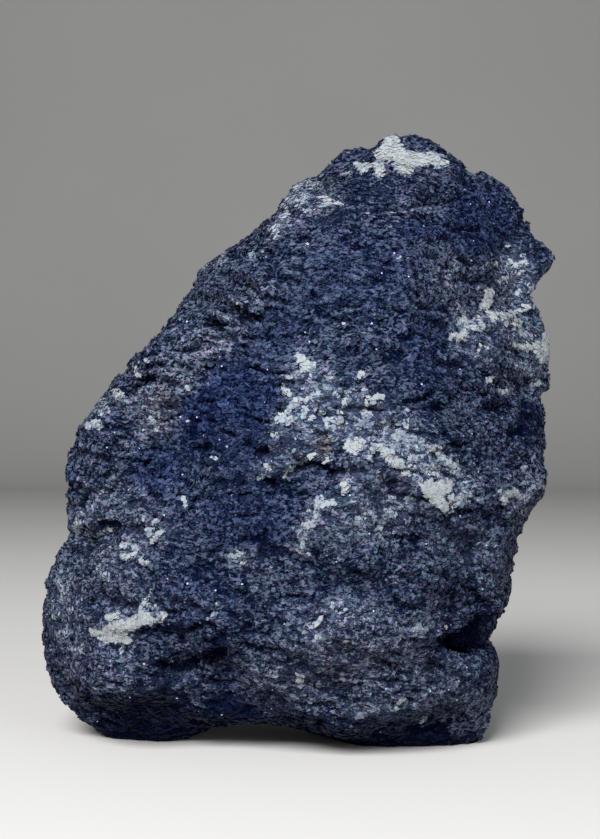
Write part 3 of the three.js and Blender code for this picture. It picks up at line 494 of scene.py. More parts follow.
# Cracks, clefts and holes of the front, as strokes of the same kind: depth, half width and points.
CLEFTS = [
    (1.0, 0.45, -4.4, 25.9, -3.0, 25.2, -1.6, 26.2, 0.2, 27.1, 2.0, 26.9, 3.0, 26.2),
    (0.3, 0.4, 4.4, 27.0, 6.6, 27.0, 8.6, 26.6), (0.7, 0.3, 14.4, 21.6, 15.6, 22.2, 17.2, 22.3),
    (0.6, 0.3, 10.6, 33.4, 12.0, 33.6, 13.4, 34.2), (0.7, 0.35, 18.6, 32.7, 20.2, 33.0),
    (0.9, 0.3, 10.2, 52.1, 13.2, 51.9, 15.4, 50.9, 17.2, 50.8, 19.2, 50.5),
    (0.5, 0.22, 8.6, 53.0, 11.2, 52.9, 14.4, 53.3, 16.6, 52.4), (0.8, 0.6, 2.4, 52.0, 3.8, 52.3),
    (1.0, 0.6, -4.2, 47.8, -3.2, 48.2), (1.1, 0.6, -5.6, 41.3, -4.2, 41.6),
    (1.1, 0.7, -7.4, 42.8, -5.8, 42.1), (1.1, 0.6, -9.2, 41.3, -7.8, 40.7),
    (1.1, 0.5, -17.2, 34.3, -16.0, 35.3, -14.8, 35.6), (0.7, 0.4, -19.7, 28.0, -19.2, 26.9),
    (0.6, 0.3, -21.4, 25.9, -20.2, 25.7, -18.6, 26.3), (0.8, 0.3, -18.6, 29.5, -18.0, 28.6),
    (0.7, 0.35, -15.5, 26.9, -15.0, 27.6), (1.0, 0.5, -22.9, 18.6, -21.6, 18.6, -20.6, 19.2),
    (0.5, 0.3, -15.2, 16.3, -14.6, 15.6), (0.6, 0.3, -13.6, 12.2, -11.6, 12.3),
    (0.7, 0.4, -10.8, 10.7, -8.8, 11.0), (0.7, 0.3, -9.4, 9.3, -7.4, 9.8),
    (0.6, 0.45, -13.6, 7.0, -11.8, 6.7, -10.4, 7.4), (0.9, 0.5, -9.0, 7.6, -7.6, 8.4),
    (0.6, 0.4, -16.4, 12.9, -19.0, 13.1), (1.3, 0.45, 23.7, 45.2, 23.5, 43.4),
    (1.1, 0.4, 22.9, 33.6, 24.9, 34.0), (0.9, 0.35, 22.5, 49.2, 22.6, 48.0),
    (0.5, 0.25, 20.7, 38.8, 21.9, 38.2), (0.4, 0.16, 17.4, 36.8, 18.6, 36.2),
    (0.4, 0.16, 20.3, 36.8, 21.6, 36.1, 22.2, 36.6), (0.5, 0.35, 13.0, 16.4, 16.0, 15.2, 19.0, 12.9),
    (2.0, 0.7, 14.6, 9.4, 15.8, 9.4), (3.4, 0.8, 15.8, 9.6, 17.4, 9.6, 19.6, 9.6),
    (3.4, 0.85, 16.6, 10.0, 18.2, 10.8, 20.2, 11.2), (0.7, 0.3, 14.4, 8.6, 12.8, 7.4),
    (0.6, 0.5, 12.8, 6.4, 14.2, 6.6), (1.0, 0.5, 11.2, 0.6, 13.2, 0.5, 14.8, 1.2),
    (0.5, 0.25, 0.4, 3.0, 3.4, 3.2), (0.6, 0.3, 8.0, 7.4, 9.8, 6.4, 11.2, 6.2),
    (0.5, 0.25, -1.2, 7.4, 0.2, 7.9),
]
# Where the blue is deepest, then where the ore is dusty grey: the same ovals.
DEEP_BLUE = [
    (-7.0, 32.5, 7.0, 6.0, 35, 1.0), (-14.5, 26.5, 3.5, 3.5, 0, 0.8), (-5.0, 21.5, 7.0, 4.5, 0, 0.5),
    (-6.0, 28.5, 4.5, 3.5, 0, 1.0), (18.0, 51.5, 4.0, 4.5, 0, 0.8), (12.5, 51.0, 4.0, 1.8, 0, 0.7),
    (13.0, 39.0, 4.5, 5.0, 0, 0.5), (-19.5, 12.5, 2.0, 1.6, 0, 0.8), (-4.0, 40.0, 6.0, 4.0, 30, 0.5),
    (6.0, 46.0, 8.0, 5.0, 0, 0.45), (-10.0, 13.5, 5.0, 3.0, 0, 0.5), (-6.0, 4.0, 4.0, 3.5, 0, 0.5),
]
DUSTY = [
    (-8.5, 39.6, 7.0, 2.4, 34, 1.0), (-4.5, 43.6, 4.0, 2.2, 30, 0.7), (-5.0, 27.0, 4.0, 2.6, 0, 0.3),
    (-12.0, 36.0, 5.0, 3.0, 30, 0.8), (-15.0, 33.0, 3.5, 4.0, 0, 0.8), (-7.0, 27.5, 4.5, 4.5, 0, 0.4),
    (8.0, 52.5, 4.0, 3.5, 0, 0.2), (1.5, 31.0, 4.5, 5.5, 0, 0.8), (8.0, 22.0, 5.0, 4.0, 0, 0.7),
    (-21.0, 15.0, 5.0, 7.5, 0, 0.8), (-18.0, 22.0, 5.0, 4.0, 0, 0.6), (4.0, 8.0, 12.0, 7.0, 0, 0.6),
    (-14.0, 5.0, 8.0, 5.0, 0, 0.6), (-2.5, 15.5, 4.5, 4.0, 0, 0.3), (-21.5, 8.0, 3.0, 4.0, 0, 0.55),
    (9.5, 29.5, 7.0, 4.0, -35, 0.7), (1.0, 54.0, 4.0, 3.0, 20, 0.9),
]
# Where the ore is a little lighter (+) or darker (-): the same ovals, with the change of tone. These are
# partly the ore's own tone and partly painted light and shade that evens out how its forms are lit; the dark
# ovals along its foot are painted shade.
LIGHTER = [
    (16.0, 45.5, 6.5, 6.0, 0, 0.14), (5.0, 7.0, 4.5, 3.6, 0, 0.2), (-4.2, 5.4, 3.4, 3.0, 0, 0.22),
    (-10.0, 41.5, 12.0, 6.0, 38, 0.08), (23.0, 24.0, 3.5, 4.6, 0, 0.3), (11.0, 16.5, 4.0, 3.0, 0, 0.1),
    (20.0, 17.0, 3.0, 5.0, 0, 0.1), (13.0, 52.4, 3.4, 2.2, 0, 0.14), (22.0, 35.4, 2.8, 2.6, 0, 0.18),
    (16.5, 1.4, 2.5, 2.0, 0, 0.2), (11.5, 5.0, 3.0, 3.0, 0, 0.1), (-12.5, 35.4, 5.0, 2.6, 30, 0.03),
    (-18.0, 27.2, 3.0, 3.0, 0, 0.16), (17.5, 24.5, 2.6, 2.6, 0, 0.14), (11.0, 17.4, 3.4, 2.0, 0, 0.12),
    (-18.5, 5.6, 3.0, 2.4, 0, 0.05), (12.4, 2.4, 2.0, 1.5, 0, 0.25),
]
DARKER = [
    (-7.0, 27.5, 7.0, 6.0, 0, 0.18), (-12.5, 5.4, 3.6, 3.6, 0, 0.22), (-14.6, 0.2, 8.0, 3.2, 0, 0.8),
    (-11.4, 5.2, 1.8, 1.8, 0, 0.15), (-7.0, 2.0, 4.0, 2.6, 0, 0.4), (22.0, 49.0, 2.8, 5.0, 0, 0.14),
    (12.0, -0.6, 4.5, 1.8, 0, 0.4), (13.0, 33.5, 3.6, 2.4, 0, 0.12), (22.8, 31.0, 2.0, 2.8, 0, 0.25),
    (17.5, 48.6, 3.0, 2.0, 0, 0.12), (6.5, 33.0, 3.0, 2.0, 0, 0.1), (10.5, 5.2, 2.0, 2.0, 0, 0.12),
    (6.5, 54.0, 4.0, 3.0, 0, 0.1),
]
# Where the ore is smooth and dusty, with few crumbs: the same ovals.
SMOOTH = [(-12.8, 34.8, 3.6, 1.9, 25, 1.0), (-8.6, 38.6, 3.0, 1.2, 35, 0.7)]
# Where a little iron has stained the ore brown: the same ovals.
RUSTY = [(2.4, 29.0, 1.2, 1.7, 0, 1.0), (13.5, 28.6, 0.8, 0.5, 0, 1.0), (-13.9, 32.3, 2.6, 2.6, 0, 0.4)]
VIEW_FROM = (-0.25, -139.27, 29.5)  # millimetres; the place that the strokes are drawn from
FRONT_FROM, FRONT_TO = 4.0, 1.0  # y over which the strokes of the front give way to the back's ovals
STROKE_END = 1.6  # half widths from a stroke's middle to where it has faded out
WHITE_CORE, FILM_CORE = 0.7, 0.3  # half widths over which a stroke is whole
EDGE_WAVES = [(1.3, 0.25), (0.5, 0.12)]  # wavelength and reach of what makes a crust's edge ragged
EDGE_SEEDS = (101, 103)  # for how it strays sideways and upwards
BACK_SOFT = 0.6
BREAK_WAVE, BREAK_WAVE_UP, BREAK_DEPTH, BREAK_SEED = 0.4, 0.32, 0.55, 105  # small gaps in thin crust
BREAK_TO, BREAK_COVER = 0.4, (1.4, 1.05)  # noise where a gap is deepest; cover under which gaps begin


def ovals_at(ovals, u, v, soft):
    """The strongest of a list of ovals at each point, each eased over `soft` from its edge inwards."""
    return np.max([o[5] * rise(0, soft, inside(o, u, v)) for o in ovals], axis=0)


def strokes_at(strokes, u, v, core, end):
    """The strongest of a list of strokes at each point: whole to `core` half widths, none at `end`."""
    best = np.zeros(u.shape)
    for strength, wide, *line in strokes:
        away = by_line(np.reshape(line, (-1, 2)), u, v)[0] / wide
        best = np.maximum(best, strength * rise(end, core, away))
    return best


def seen_at(p):
    """Where lines from VIEW_FROM through points meet the plane of the rim, and how much each is in front."""
    x, y, z = p.T
    near = (SHIFT[1] - VIEW_FROM[1]) / (y - VIEW_FROM[1])
    u, v = (x - VIEW_FROM[0]) * near, VIEW_FROM[2] + (z - VIEW_FROM[2]) * near
    return u, v, rise(FRONT_FROM, FRONT_TO, y)


def ragged(x, y, z, seed):
    """How far a crust's edge strays, in millimetres: a sum of two sizes of noise."""
    stray = np.zeros(x.shape)
    for n, (wave, reach) in enumerate(EDGE_WAVES):
        stray += reach * noise(x / wave, y / wave, z / wave, seed + n)
    return stray


def crusts_at(p):
    """How much white crust and grey film there is at points in millimetres, from 0 to about 1.3."""
    u, v, front = seen_at(p)
    x, y, z = p.T
    su, sv = (ragged(x, y, z, seed) for seed in EDGE_SEEDS)
    back = ovals_at(BACK_CRUSTS, x + 2 * su, z + 2 * sv, BACK_SOFT) * (1 - front)
    white = np.maximum(strokes_at(WHITE, u + su, v + sv, WHITE_CORE, STROKE_END) * front, back)
    film = np.maximum(strokes_at(FILM, u + 2 * su, v + 2 * sv, FILM_CORE, STROKE_END) * front, back)
    gaps = rise(0, BREAK_TO, noise(x / BREAK_WAVE, y / BREAK_WAVE, z / BREAK_WAVE_UP, BREAK_SEED))
    return white * (1 - BREAK_DEPTH * (gaps * rise(*BREAK_COVER, white))), film


CELLS = 128  # squares along each side of the six grids that cover the stone
FORWARD = 0.4  # how far the directions lean to the front, where the squares are then smaller
ATLAS_EDGE = 0.01  # share of an atlas square that is left free along each side


def cube_sphere(cells):
    """Six square grids on a cube, pushed out to a sphere: unit directions, and quads that share them.

    A grid point (a, b) in -1..1 is tan(a pi/4), tan(b pi/4) on its face. Also gives each quad
    corner's place in an atlas of six squares."""
    step = np.tan(np.linspace(-1, 1, cells + 1) * np.pi / 4)
    a, b = np.meshgrid(step, step, indexing="ij")
    one = np.ones_like(a)
    faces = [(one, a, b), (-one, -a, b), (-a, one, b), (a, -one, b), (-b, a, one), (b, a, -one)]
    grid = np.arange((cells + 1) ** 2).reshape(cells + 1, cells + 1)
    quad = np.stack([grid[:-1, :-1], grid[1:, :-1], grid[1:, 1:], grid[:-1, 1:]], -1).reshape(-1, 4)
    share = np.linspace(0, 1, cells + 1)
    spot = np.stack(np.meshgrid(share, share, indexing="ij"), -1).reshape(-1, 2)[quad]
    spot = ATLAS_EDGE + spot * (1 - 2 * ATLAS_EDGE)
    points = np.concatenate([np.stack(f, -1).reshape(-1, 3) for f in faces])
    quads = np.concatenate([quad + n * grid.size for n in range(6)])
    atlas = np.concatenate([(spot + [n % 3, n // 3]) / [3, 2] for n in range(6)])
    points = unit(points)
    _, first, same = np.unique(np.round(points, 6), axis=0, return_index=True, return_inverse=True)
    return points[first], same.reshape(-1)[quads], atlas


def vertex_normals(p, quads):
    """The mean direction of the faces round each vertex, weighted by their areas: sums of cross products
    of their diagonals."""
    a, b, c, d = (p[quads[:, n]] for n in range(4))
    face = np.cross(c - a, d - b)
    total = np.zeros_like(p)
    for n in range(4):
        for axis in range(3):
            total[:, axis] += np.bincount(quads[:, n], face[:, axis], len(p))
    return total / (np.linalg.norm(total, axis=1)[:, None] + 1e-12)


def mesh_object(name, p, faces, fields, atlas):
    """A mesh from points in millimetres, faces of one size, named numbers at its points, and a UV map."""
    mesh = bpy.data.meshes.new(name)
    count, sides = faces.shape
    mesh.vertices.add(len(p))
    mesh.vertices.foreach_set("co", (p * 0.001).astype(np.float32).ravel())
    mesh.loops.add(count * sides)
    mesh.loops.foreach_set("vertex_index", faces.astype(np.int32).ravel())
    mesh.polygons.add(count)
    mesh.polygons.foreach_set("loop_start", np.arange(0, count * sides, sides, dtype=np.int32))
    for key, values in fields.items():
        layer = mesh.attributes.new(key, "FLOAT", "POINT")
        layer.data.foreach_set("value", values.astype(np.float32))
    uv = mesh.uv_layers.new(name="OFBake", do_init=False)
    uv.uv.foreach_set("vector", atlas.astype(np.float32).ravel())
    mesh.update(calc_edges=True)
    mesh.validate()
    piece = bpy.data.objects.new(name, mesh)
    bpy.context.scene.collection.objects.link(piece)
    return piece


directions, quads, atlas = cube_sphere(CELLS)
coarse = coarse_stone(unit(directions - [0, FORWARD, 0]))
if np.einsum("ij,ij->", np.cross(coarse[quads[:, 0]], coarse[quads[:, 1]]), coarse[quads[:, 2]]) < 0:
    quads, atlas = quads[:, ::-1], atlas[:, ::-1]
normals = vertex_normals(coarse, quads)

# What lies where on the skin. On the back, deep blue and dust come and go with a slow noise.
CLEFT_RIM, CLEFT_FLOOR = 1.25, 0.75  # half widths from a cleft's middle to its rim and to its floor
CLEFT_FROM, CLEFT_TO = -1.0, -5.0  # y over which a cleft deepens, going forwards from the stone's edge
DRIFT_WAVE, DRIFT_TO, DRIFT_SEED = 11, 0.6, 107
SOFT, SHADE_AND_TONE_SOFT = 0.8, 0.9  # shares of an oval's shape over which its colour, and its tone with its painted light and shade, are eased
SOLID_COVER = (0.7, 1.1)  # cover over which crust turns solid
UNDER_FROM, UNDER_TO = -0.5, -0.9  # upward part of the normal over which the painted underside shade begins
u, v, front = seen_at(coarse)
white, film = crusts_at(coarse)
solid = rise(*SOLID_COVER, white)
cleft = strokes_at(CLEFTS, u, v, CLEFT_FLOOR, CLEFT_RIM) * rise(CLEFT_FROM, CLEFT_TO, coarse[:, 1])
drift = noise(*(coarse.T / DRIFT_WAVE), DRIFT_SEED)
blue = front * ovals_at(DEEP_BLUE, u, v, SOFT) + (1 - front) * rise(0.0, DRIFT_TO, drift)
dust = front * ovals_at(DUSTY, u, v, SOFT) + (1 - front) * rise(0.0, DRIFT_TO, -drift)
rust = front * ovals_at(RUSTY, u, v, SOFT)
smooth = front * ovals_at(SMOOTH, u, v, SOFT)
# The lighter and darker ovals: partly the ore's own tone, partly painted light and shade.
painted_light_and_tone = front * (ovals_at(LIGHTER, u, v, SHADE_AND_TONE_SOFT) - ovals_at(DARKER, u, v, SHADE_AND_TONE_SOFT))
underside_shade = rise(UNDER_FROM, UNDER_TO, normals[:, 2])

# The skin: fine relief, less of it where the ore is smooth or crusted, the crusts' thickness and clefts.
SMOOTH_RELIEF, SMOOTH_GAPS = 0.5, 0.8  # shares of the relief and of the gaps that smooth ore lacks
CRUST_RELIEF, CRUST_GAPS, CRUST_THICKNESS = 0.45, 0.8, 0.2
CRUMB_SHADE = 0.1  # how much the shades of two crumbs differ at most
FOOT_SHARE, FOOT_TOP = 0.25, 1.5  # share of the skin's relief on the floor, and height where it is whole
# How much the underside is darkened with painted shade.
UNDER_DARK = 0.7
CLEFT_DARK, HOLE_DARK = (0.1, 0.8), (1.0, 2.0)  # depths over which a cleft is darkened with painted shade, and then a hole
relief, gap_shade, shade = fine_relief(*coarse.T)
tone_shift = CRUMB_SHADE * (shade - 0.5) + painted_light_and_tone
relief, gap_shade = relief * (1 - SMOOTH_RELIEF * smooth), gap_shade * (1 - SMOOTH_GAPS * smooth)
relief = relief * (1 - CRUST_RELIEF * solid) + CRUST_THICKNESS * solid - cleft
foot = rise(0.0, FOOT_TOP, coarse[:, 2])
stone_points = coarse + normals * (relief * (FOOT_SHARE + (1 - FOOT_SHARE) * foot))[:, None]
stone_points[:, 2] = np.maximum(stone_points[:, 2], 0)
fine_normals = vertex_normals(stone_points, quads)
cleft_shade = rise(*CLEFT_DARK, cleft) + rise(*HOLE_DARK, cleft)
gap_shade = np.clip(np.maximum(gap_shade * (1 - CRUST_GAPS * solid), cleft_shade), 0, 2)
stone_fields = {
    "white": white, "film": film, "blue": blue, "dust": dust, "rust": rust,
    "gap_shade": gap_shade + UNDER_DARK * underside_shade, "tone_shift": tone_shift,
}
stone = mesh_object("covellite_surface", stone_points, quads, stone_fields, atlas)
stone.data.shade_smooth()


def linear(red, green, blue):
    """A colour given as a paint card's 0-255 numbers, as the linear values that a shader takes."""
    c = np.array([red, green, blue]) / 255
    c = np.where(c <= 0.04045, c / 12.92, ((c + 0.055) / 1.055) ** 2.4)
    return (*c, 1.0)


PER_MM = 1000.0  # a shader's coordinates are metres


class Shader:
    """A material's node tree, with a short call for each kind of node used here.

    Patterns take how many of their cells fit in a millimetre, on the level and upwards."""

    def __init__(self, name):
        self.material = bpy.data.materials.new(name)
        self.material.use_nodes = True
        self.tree = self.material.node_tree
        self.surface = self.tree.nodes["Principled BSDF"]

    def put(self, socket, value):
        """Links a node's output to a socket, or sets the socket's own number or colour."""
        if isinstance(value, bpy.types.NodeSocket):
            self.tree.links.new(value, socket)
        else:
            socket.default_value = value

    def dress(self, inputs):
        """Gives the surface its inputs, and the finished material."""
        for key, value in inputs.items():
            self.put(self.surface.inputs[key], value)
        return self.material

    def node(self, kind, inputs, **settings):
        made = self.tree.nodes.new(kind)
        for key, value in settings.items():
            setattr(made, key, value)
        for key, value in inputs.items():
            self.put(made.inputs[key], value)
        return made

    def value(self, name):
        """The named number that the piece has at its points."""
        return self.node("ShaderNodeAttribute", {}, attribute_name=name).outputs["Fac"]

    def place(self, level, upright):
        """Object coordinates, in cells of a pattern."""
        at = self.node("ShaderNodeTexCoord", {}).outputs["Object"]
        cells = [level * PER_MM, level * PER_MM, upright * PER_MM]
        return self.node("ShaderNodeVectorMath", {0: at, 1: cells}, operation="MULTIPLY").outputs[0]

    def noise(self, level, upright, detail=2.0, rough=0.5):
        inputs = {"Vector": self.place(level, upright), "Scale": 1.0, "Detail": detail, "Roughness": rough}
        return self.node("ShaderNodeTexNoise", inputs).outputs["Fac"]

    def cells(self, level, upright):
        """Round cells: distance from a cell's middle, and three random numbers for each cell."""
        made = self.node("ShaderNodeTexVoronoi", {"Vector": self.place(level, upright), "Scale": 1.0})
        parts = self.node("ShaderNodeSeparateColor", {0: made.outputs["Color"]}).outputs
        return made.outputs["Distance"], parts

    def math(self, operation, *values):
        return self.node("ShaderNodeMath", dict(enumerate(values)), operation=operation).outputs[0]

    def plus(self, first, *others):
        for other in others:
            first = self.math("ADD", first, other)
        return first

    def minus(self, first, second):
        return self.math("SUBTRACT", first, second)

    def times(self, first, second):
        return self.math("MULTIPLY", first, second)

    def step(self, start, end, value):
        """An eased step of a value between two limits."""
        inputs = {"Value": value, "From Min": start, "From Max": end}
        return self.node("ShaderNodeMapRange", inputs, interpolation_type="SMOOTHSTEP").outputs[0]

    def mix(self, share, first, second):
        return self.node("ShaderNodeMix", {0: share, 6: first, 7: second}, data_type="RGBA").outputs[2]

    def blend(self, start, end, value, first, second):
        """From one paint colour to another as a value goes from start to end."""
        return self.mix(self.step(start, end, value), linear(*first), linear(*second))

    def bump(self, height, distance, strength):
        inputs = {"Height": height, "Distance": distance, "Strength": strength}
        return self.node("ShaderNodeBump", inputs).outputs["Normal"]


# The ore's dark, middle and light colours, plain and where the blue is deepest; the tones they stand at.
PLAIN_BLUES = [(1, 5, 27), (52, 59, 78), (106, 111, 123)]
DEEP_BLUES = [(1, 4, 29), (29, 39, 71), (72, 81, 113)]
DARK_AT, MIDDLE_AT, LIGHT_AT = 0.05, 0.5, 1.0
CAST_LIGHT_AT, DEEP_SHARE = 0.95, 0.95
# What a field turns the ore to: the field, how much of it shows, and its dark and light colours.
CASTS = [
    ("dust", 0.6, (14, 20, 38), (116, 122, 140)),
    ("film", 0.85, (38, 45, 66), (126, 134, 150)),
    ("rust", 0.6, (32, 28, 30), (124, 113, 102)),
]
GREENISH, UNTINTED, VIOLET = (0.9, 1.08, 0.92, 1.0), (1.0, 1.0, 1.0, 1.0), (1.24, 0.96, 1.0, 1.0)
LAST_GREENISH, FIRST_VIOLET = (0.1, 0.45), (0.6, 0.95)  # hues over which the tint changes
# Cracks: cells in a millimetre on the level and upwards, and how wide a line is; then the detail and
# roughness of all, their patches, how much they darken with painted shade, and how much they sink.
CRACKS = [(1.2, 2.0, 0.065), (1.9, 3.0, 0.08)]
CRACK_DETAIL, CRACK_CORE = (2.5, 0.55), 0.3
CRACK_PATCHES, CRACKED = (2.0, 2.8, 1.0, 0.5), (0.4, 0.6)
CRACK_DARK, CRACK_DEEP = 0.6, 0.5
# The ore's noises: cells in a millimetre on the level and upwards, detail and roughness.
CLOD_NOISE, FLECK_NOISE, GRAIN_NOISE = (1.3, 1.7, 3.0, 0.6), (3.0, 4.0, 1.0, 0.5), (2.6, 2.6, 3.0, 0.65)
ORE_CELLS = (2.6, 3.6)
# What the tone of the ore's skin is made of: its level, then shares of the patterns and of the painted shade
# in the gaps.
ORE_TONE, TONE_CLODS, TONE_CELLS, TONE_FLECKS, TONE_GAPS = 0.4, 0.2, 0.18, 0.8, 0.42
BUMP_CELLS, BUMP_FLECKS = -0.6, 0.6  # heights of the patterns in the bump, where a clod is 1
# Dark and light paint of thick crust, of its thin edge, and of the specks in the film; then the cover
# over which specks show, crust begins, and crust turns thick.
CHALK = [(104, 110, 114), (113, 117, 117)]
THIN_CHALK = [(60, 69, 88), (102, 110, 119)]
FILM_SPECKS = [(84, 93, 110), (140, 148, 160)]
PALE_FROM, THIN_PALE_FROM = (0.3, 0.7), (0.36, 0.62)  # noise over which each goes from dark to light
SPECKS_FROM, CRUST_FROM, THICK_FROM = (1.12, 1.3), (0.72, 0.86), (0.75, 1.15)
SPECKS_STRAY, CRUST_STRAY = 3.0, 1.6  # how much a noise adds to the cover
SPECKS_SHARE = 0.75
BLUE_SHINE = (0.45, 0.65, 1.0, 1.0)


def cracks(s):
    """Thin lines, from 0 to 1, in patches, darkened with painted shade: 1 - step(distance of a stretched
    noise from 0.5).
    """
    lines = 0.0
    for level, upright, width in CRACKS:
        away = s.math("ABSOLUTE", s.minus(s.noise(level, upright, *CRACK_DETAIL), 0.5))
        lines = s.math("MAXIMUM", lines, s.minus(1.0, s.step(width * CRACK_CORE, width, away)))
    return s.times(lines, s.step(*CRACKED, s.noise(*CRACK_PATCHES)))


def three_blues(s, tone, dark, middle, light):
    """From dark to middle to light paint as the tone rises."""
    low = s.blend(DARK_AT, MIDDLE_AT, tone, dark, middle)
    return s.mix(s.step(MIDDLE_AT, LIGHT_AT, tone), low, linear(*light))


def ore_colour(s, tone, hue):
    """The ore's blues from a tone between 0 and 1, changed by the fields `blue`, `dust`, `film` and
    `rust`, and tinted from greenish to violet as `hue` goes from 0 to 1."""
    tone = s.minus(tone, s.times(cracks(s), CRACK_DARK))
    plain, deep = three_blues(s, tone, *PLAIN_BLUES), three_blues(s, tone, *DEEP_BLUES)
    colour = s.mix(s.times(s.value("blue"), DEEP_SHARE), plain, deep)
    for field, share, dark, light in CASTS:
        cast = s.blend(DARK_AT, CAST_LIGHT_AT, tone, dark, light)
        colour = s.mix(s.times(s.value(field), share), colour, cast)
    tint = s.mix(s.step(*LAST_GREENISH, hue), GREENISH, UNTINTED)
    tint = s.mix(s.step(*FIRST_VIOLET, hue), tint, VIOLET)
    return s.node("ShaderNodeVectorMath", {0: colour, 1: tint}, operation="MULTIPLY").outputs[0]


def ore_finish():
    """Indigo ore: crumbs of several blues with painted shade in the gaps, grey film, and crusts where
    `white` is high.
    """
    s = Shader("covellite_ore")
    clod, fleck = s.noise(*CLOD_NOISE), s.noise(*FLECK_NOISE)
    grain = s.minus(s.noise(*GRAIN_NOISE), 0.5)
    distance, shades = s.cells(*ORE_CELLS)
    tone = s.plus(s.times(clod, TONE_CLODS), s.times(shades[0], TONE_CELLS), s.value("tone_shift"))
    tone = s.plus(tone, s.plus(s.times(s.minus(fleck, 0.5), TONE_FLECKS), ORE_TONE))
    tone = s.minus(tone, s.times(s.value("gap_shade"), TONE_GAPS))
    colour = ore_colour(s, tone, shades[1])
    film, white = s.value("film"), s.value("white")
    specks = s.times(s.step(*SPECKS_FROM, s.plus(film, s.times(grain, SPECKS_STRAY))), SPECKS_SHARE)
    colour = s.mix(specks, colour, s.blend(*PALE_FROM, fleck, *FILM_SPECKS))
    thick, thin = s.blend(*PALE_FROM, fleck, *CHALK), s.blend(*THIN_PALE_FROM, fleck, *THIN_CHALK)
    crusted = s.step(*CRUST_FROM, s.plus(white, s.times(grain, CRUST_STRAY)))
    colour = s.mix(crusted, colour, s.mix(s.step(*THICK_FROM, white), thin, thick))
    height = s.plus(s.times(distance, BUMP_CELLS), s.times(fleck, BUMP_FLECKS), clod)
    height = s.minus(height, s.times(cracks(s), CRACK_DEEP))
    return s.dress({
        "Base Color": colour,
        "Roughness": s.plus(0.55, s.times(crusted, 0.3)),
        "Specular IOR Level": 0.07,
        "Specular Tint": BLUE_SHINE,
        "Normal": s.bump(height, 0.0004, s.minus(0.9, s.times(crusted, 0.2))),
    })


stone.data.materials.append(ore_finish())
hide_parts("covellite_stone")
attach(stone, "root")

# ------------------------------------------------------------------ the ore's loose crumbs
# Crumbs of covellite and grey ore that stand proud of the surface. Each is a blunt scale or nub that
# broke loose along the bedding and is still held by the ore under it. A few are flakes painted bright as
# glints.

# Each set of crumbs: how many, half sizes along, up and out in millimetres, and seed.
CRUMB_SETS = {
    "coarse_crumbs": (24000, (0.3, 0.14, 0.125), 201),
    "fine_crumbs": (24000, (0.2, 0.1, 0.105), 203),
    "tiny_crumbs": (9000, (0.15, 0.08, 0.085), 205),
}
SIZE_SPREAD, SIZE_MOST = 0.28, 1.4
LONG_SPREAD, LONG_LEAST, LONG_MOST = 0.25, 0.7, 1.5
FILM_SMALLER = 0.2  # how much smaller the crumbs are in the film
CRUMB_LEAN = 0.1  # how unevenly they point outwards
CRUMB_TONE, CRUMB_TONE_SPREAD = 0.45, 0.12
CLUMP_WAVE, CLUMP_TONE, CLUMP_SEED = 0.45, 0.05, 113  # neighbours have somewhat the same tone
# How much crumbs on the underside are darkened with painted shade.
CRUMB_UNDER_DARK = 0.4
# Share of the crumbs that are flakes painted bright as glints, their half size, and the tone that marks
# them.
PAINTED_GLINTS, GLINT_HALF, GLINT_TONE = 0.006, 0.09, 1.3
# Paint of the painted glints: two colours, and the one they have where the blue is deepest.
GLINT_PAINTS, DEEP_GLINT = [(120, 146, 205), (150, 140, 205)], (140, 150, 172)
GLINT_FROM, GLINT_SHARE = 1.1, 0.9  # tone over which a crumb is a painted glint, and how much of its paint shows
CRUMB_NOISE, CRUMB_FLECKS = (2.6, 2.6, 1.0, 0.5), 0.25
# Cover and depth of cleft over which crumbs end; how thick they lie on the back, more of them in front,
# and fewer where the ore is smooth.
CRUMBS_COVER, CRUMBS_CLEFT = (0.5, 0.9), (0.1, 0.4)
CRUMBS_BACK, MORE_FRONT, FEWER_SMOOTH = 0.7, 0.6, 0.6
OUTWARD_COARSE, OUTWARD_FINE = 0.6, 0.4  # shares of the two normals in the direction that crumbs point


def scatter(rng, count, weight):
    """Random places on the stone's quads, as likely as area times weight: points and outward normals.

    Also gives a function that carries numbers at the stone's points to those places."""
    a, b, c, d = (stone_points[quads[:, n]] for n in range(4))
    area = np.linalg.norm(np.cross(c - a, d - b), axis=1)
    chance = area * weight[quads].mean(1)
    quad = quads[rng.choice(len(quads), count, p=chance / chance.sum())]
    s, t = rng.random((2, count))
    share = np.stack([(1 - s) * (1 - t), s * (1 - t), s * t, (1 - s) * t])

    def at(values):
        return sum(share[n].reshape(-1, *[1] * (values.ndim - 1)) * values[quad[:, n]] for n in range(4))

    return at(stone_points), unit(at(OUTWARD_COARSE * normals + OUTWARD_FINE * fine_normals)), at


# A scale: a ring of five corners, and one corner behind it that sits in the stone.
RING = np.radians(np.arange(0, 360, 72) + 18)
RING_HEIGHT = np.full(len(RING), 0.9)
SCALE_POINTS = np.array([*np.stack([np.cos(RING), np.sin(RING), RING_HEIGHT], 1), [0, 0, -1]])
SCALE_FACES = np.array(
    [[0, 1, 2], [0, 2, 3], [0, 3, 4], [1, 0, 5], [2, 1, 5], [3, 2, 5], [4, 3, 5], [0, 4, 5]]
)
TURN, TURN_SPREAD = -0.12, 0.75  # radians that a scale's long side is turned from level
UNEVEN = (0.42, 0.42, 0.25)  # how far a corner strays, as a share of the half sizes
CLEAR = 0.02  # height that the scales keep above the floor
SPOT_SIZE, OUTER_SPOT, INNER_SHIFT = (0.22, 0.44), (0.25, 0.5), (0.5, 0)  # places in an atlas cell


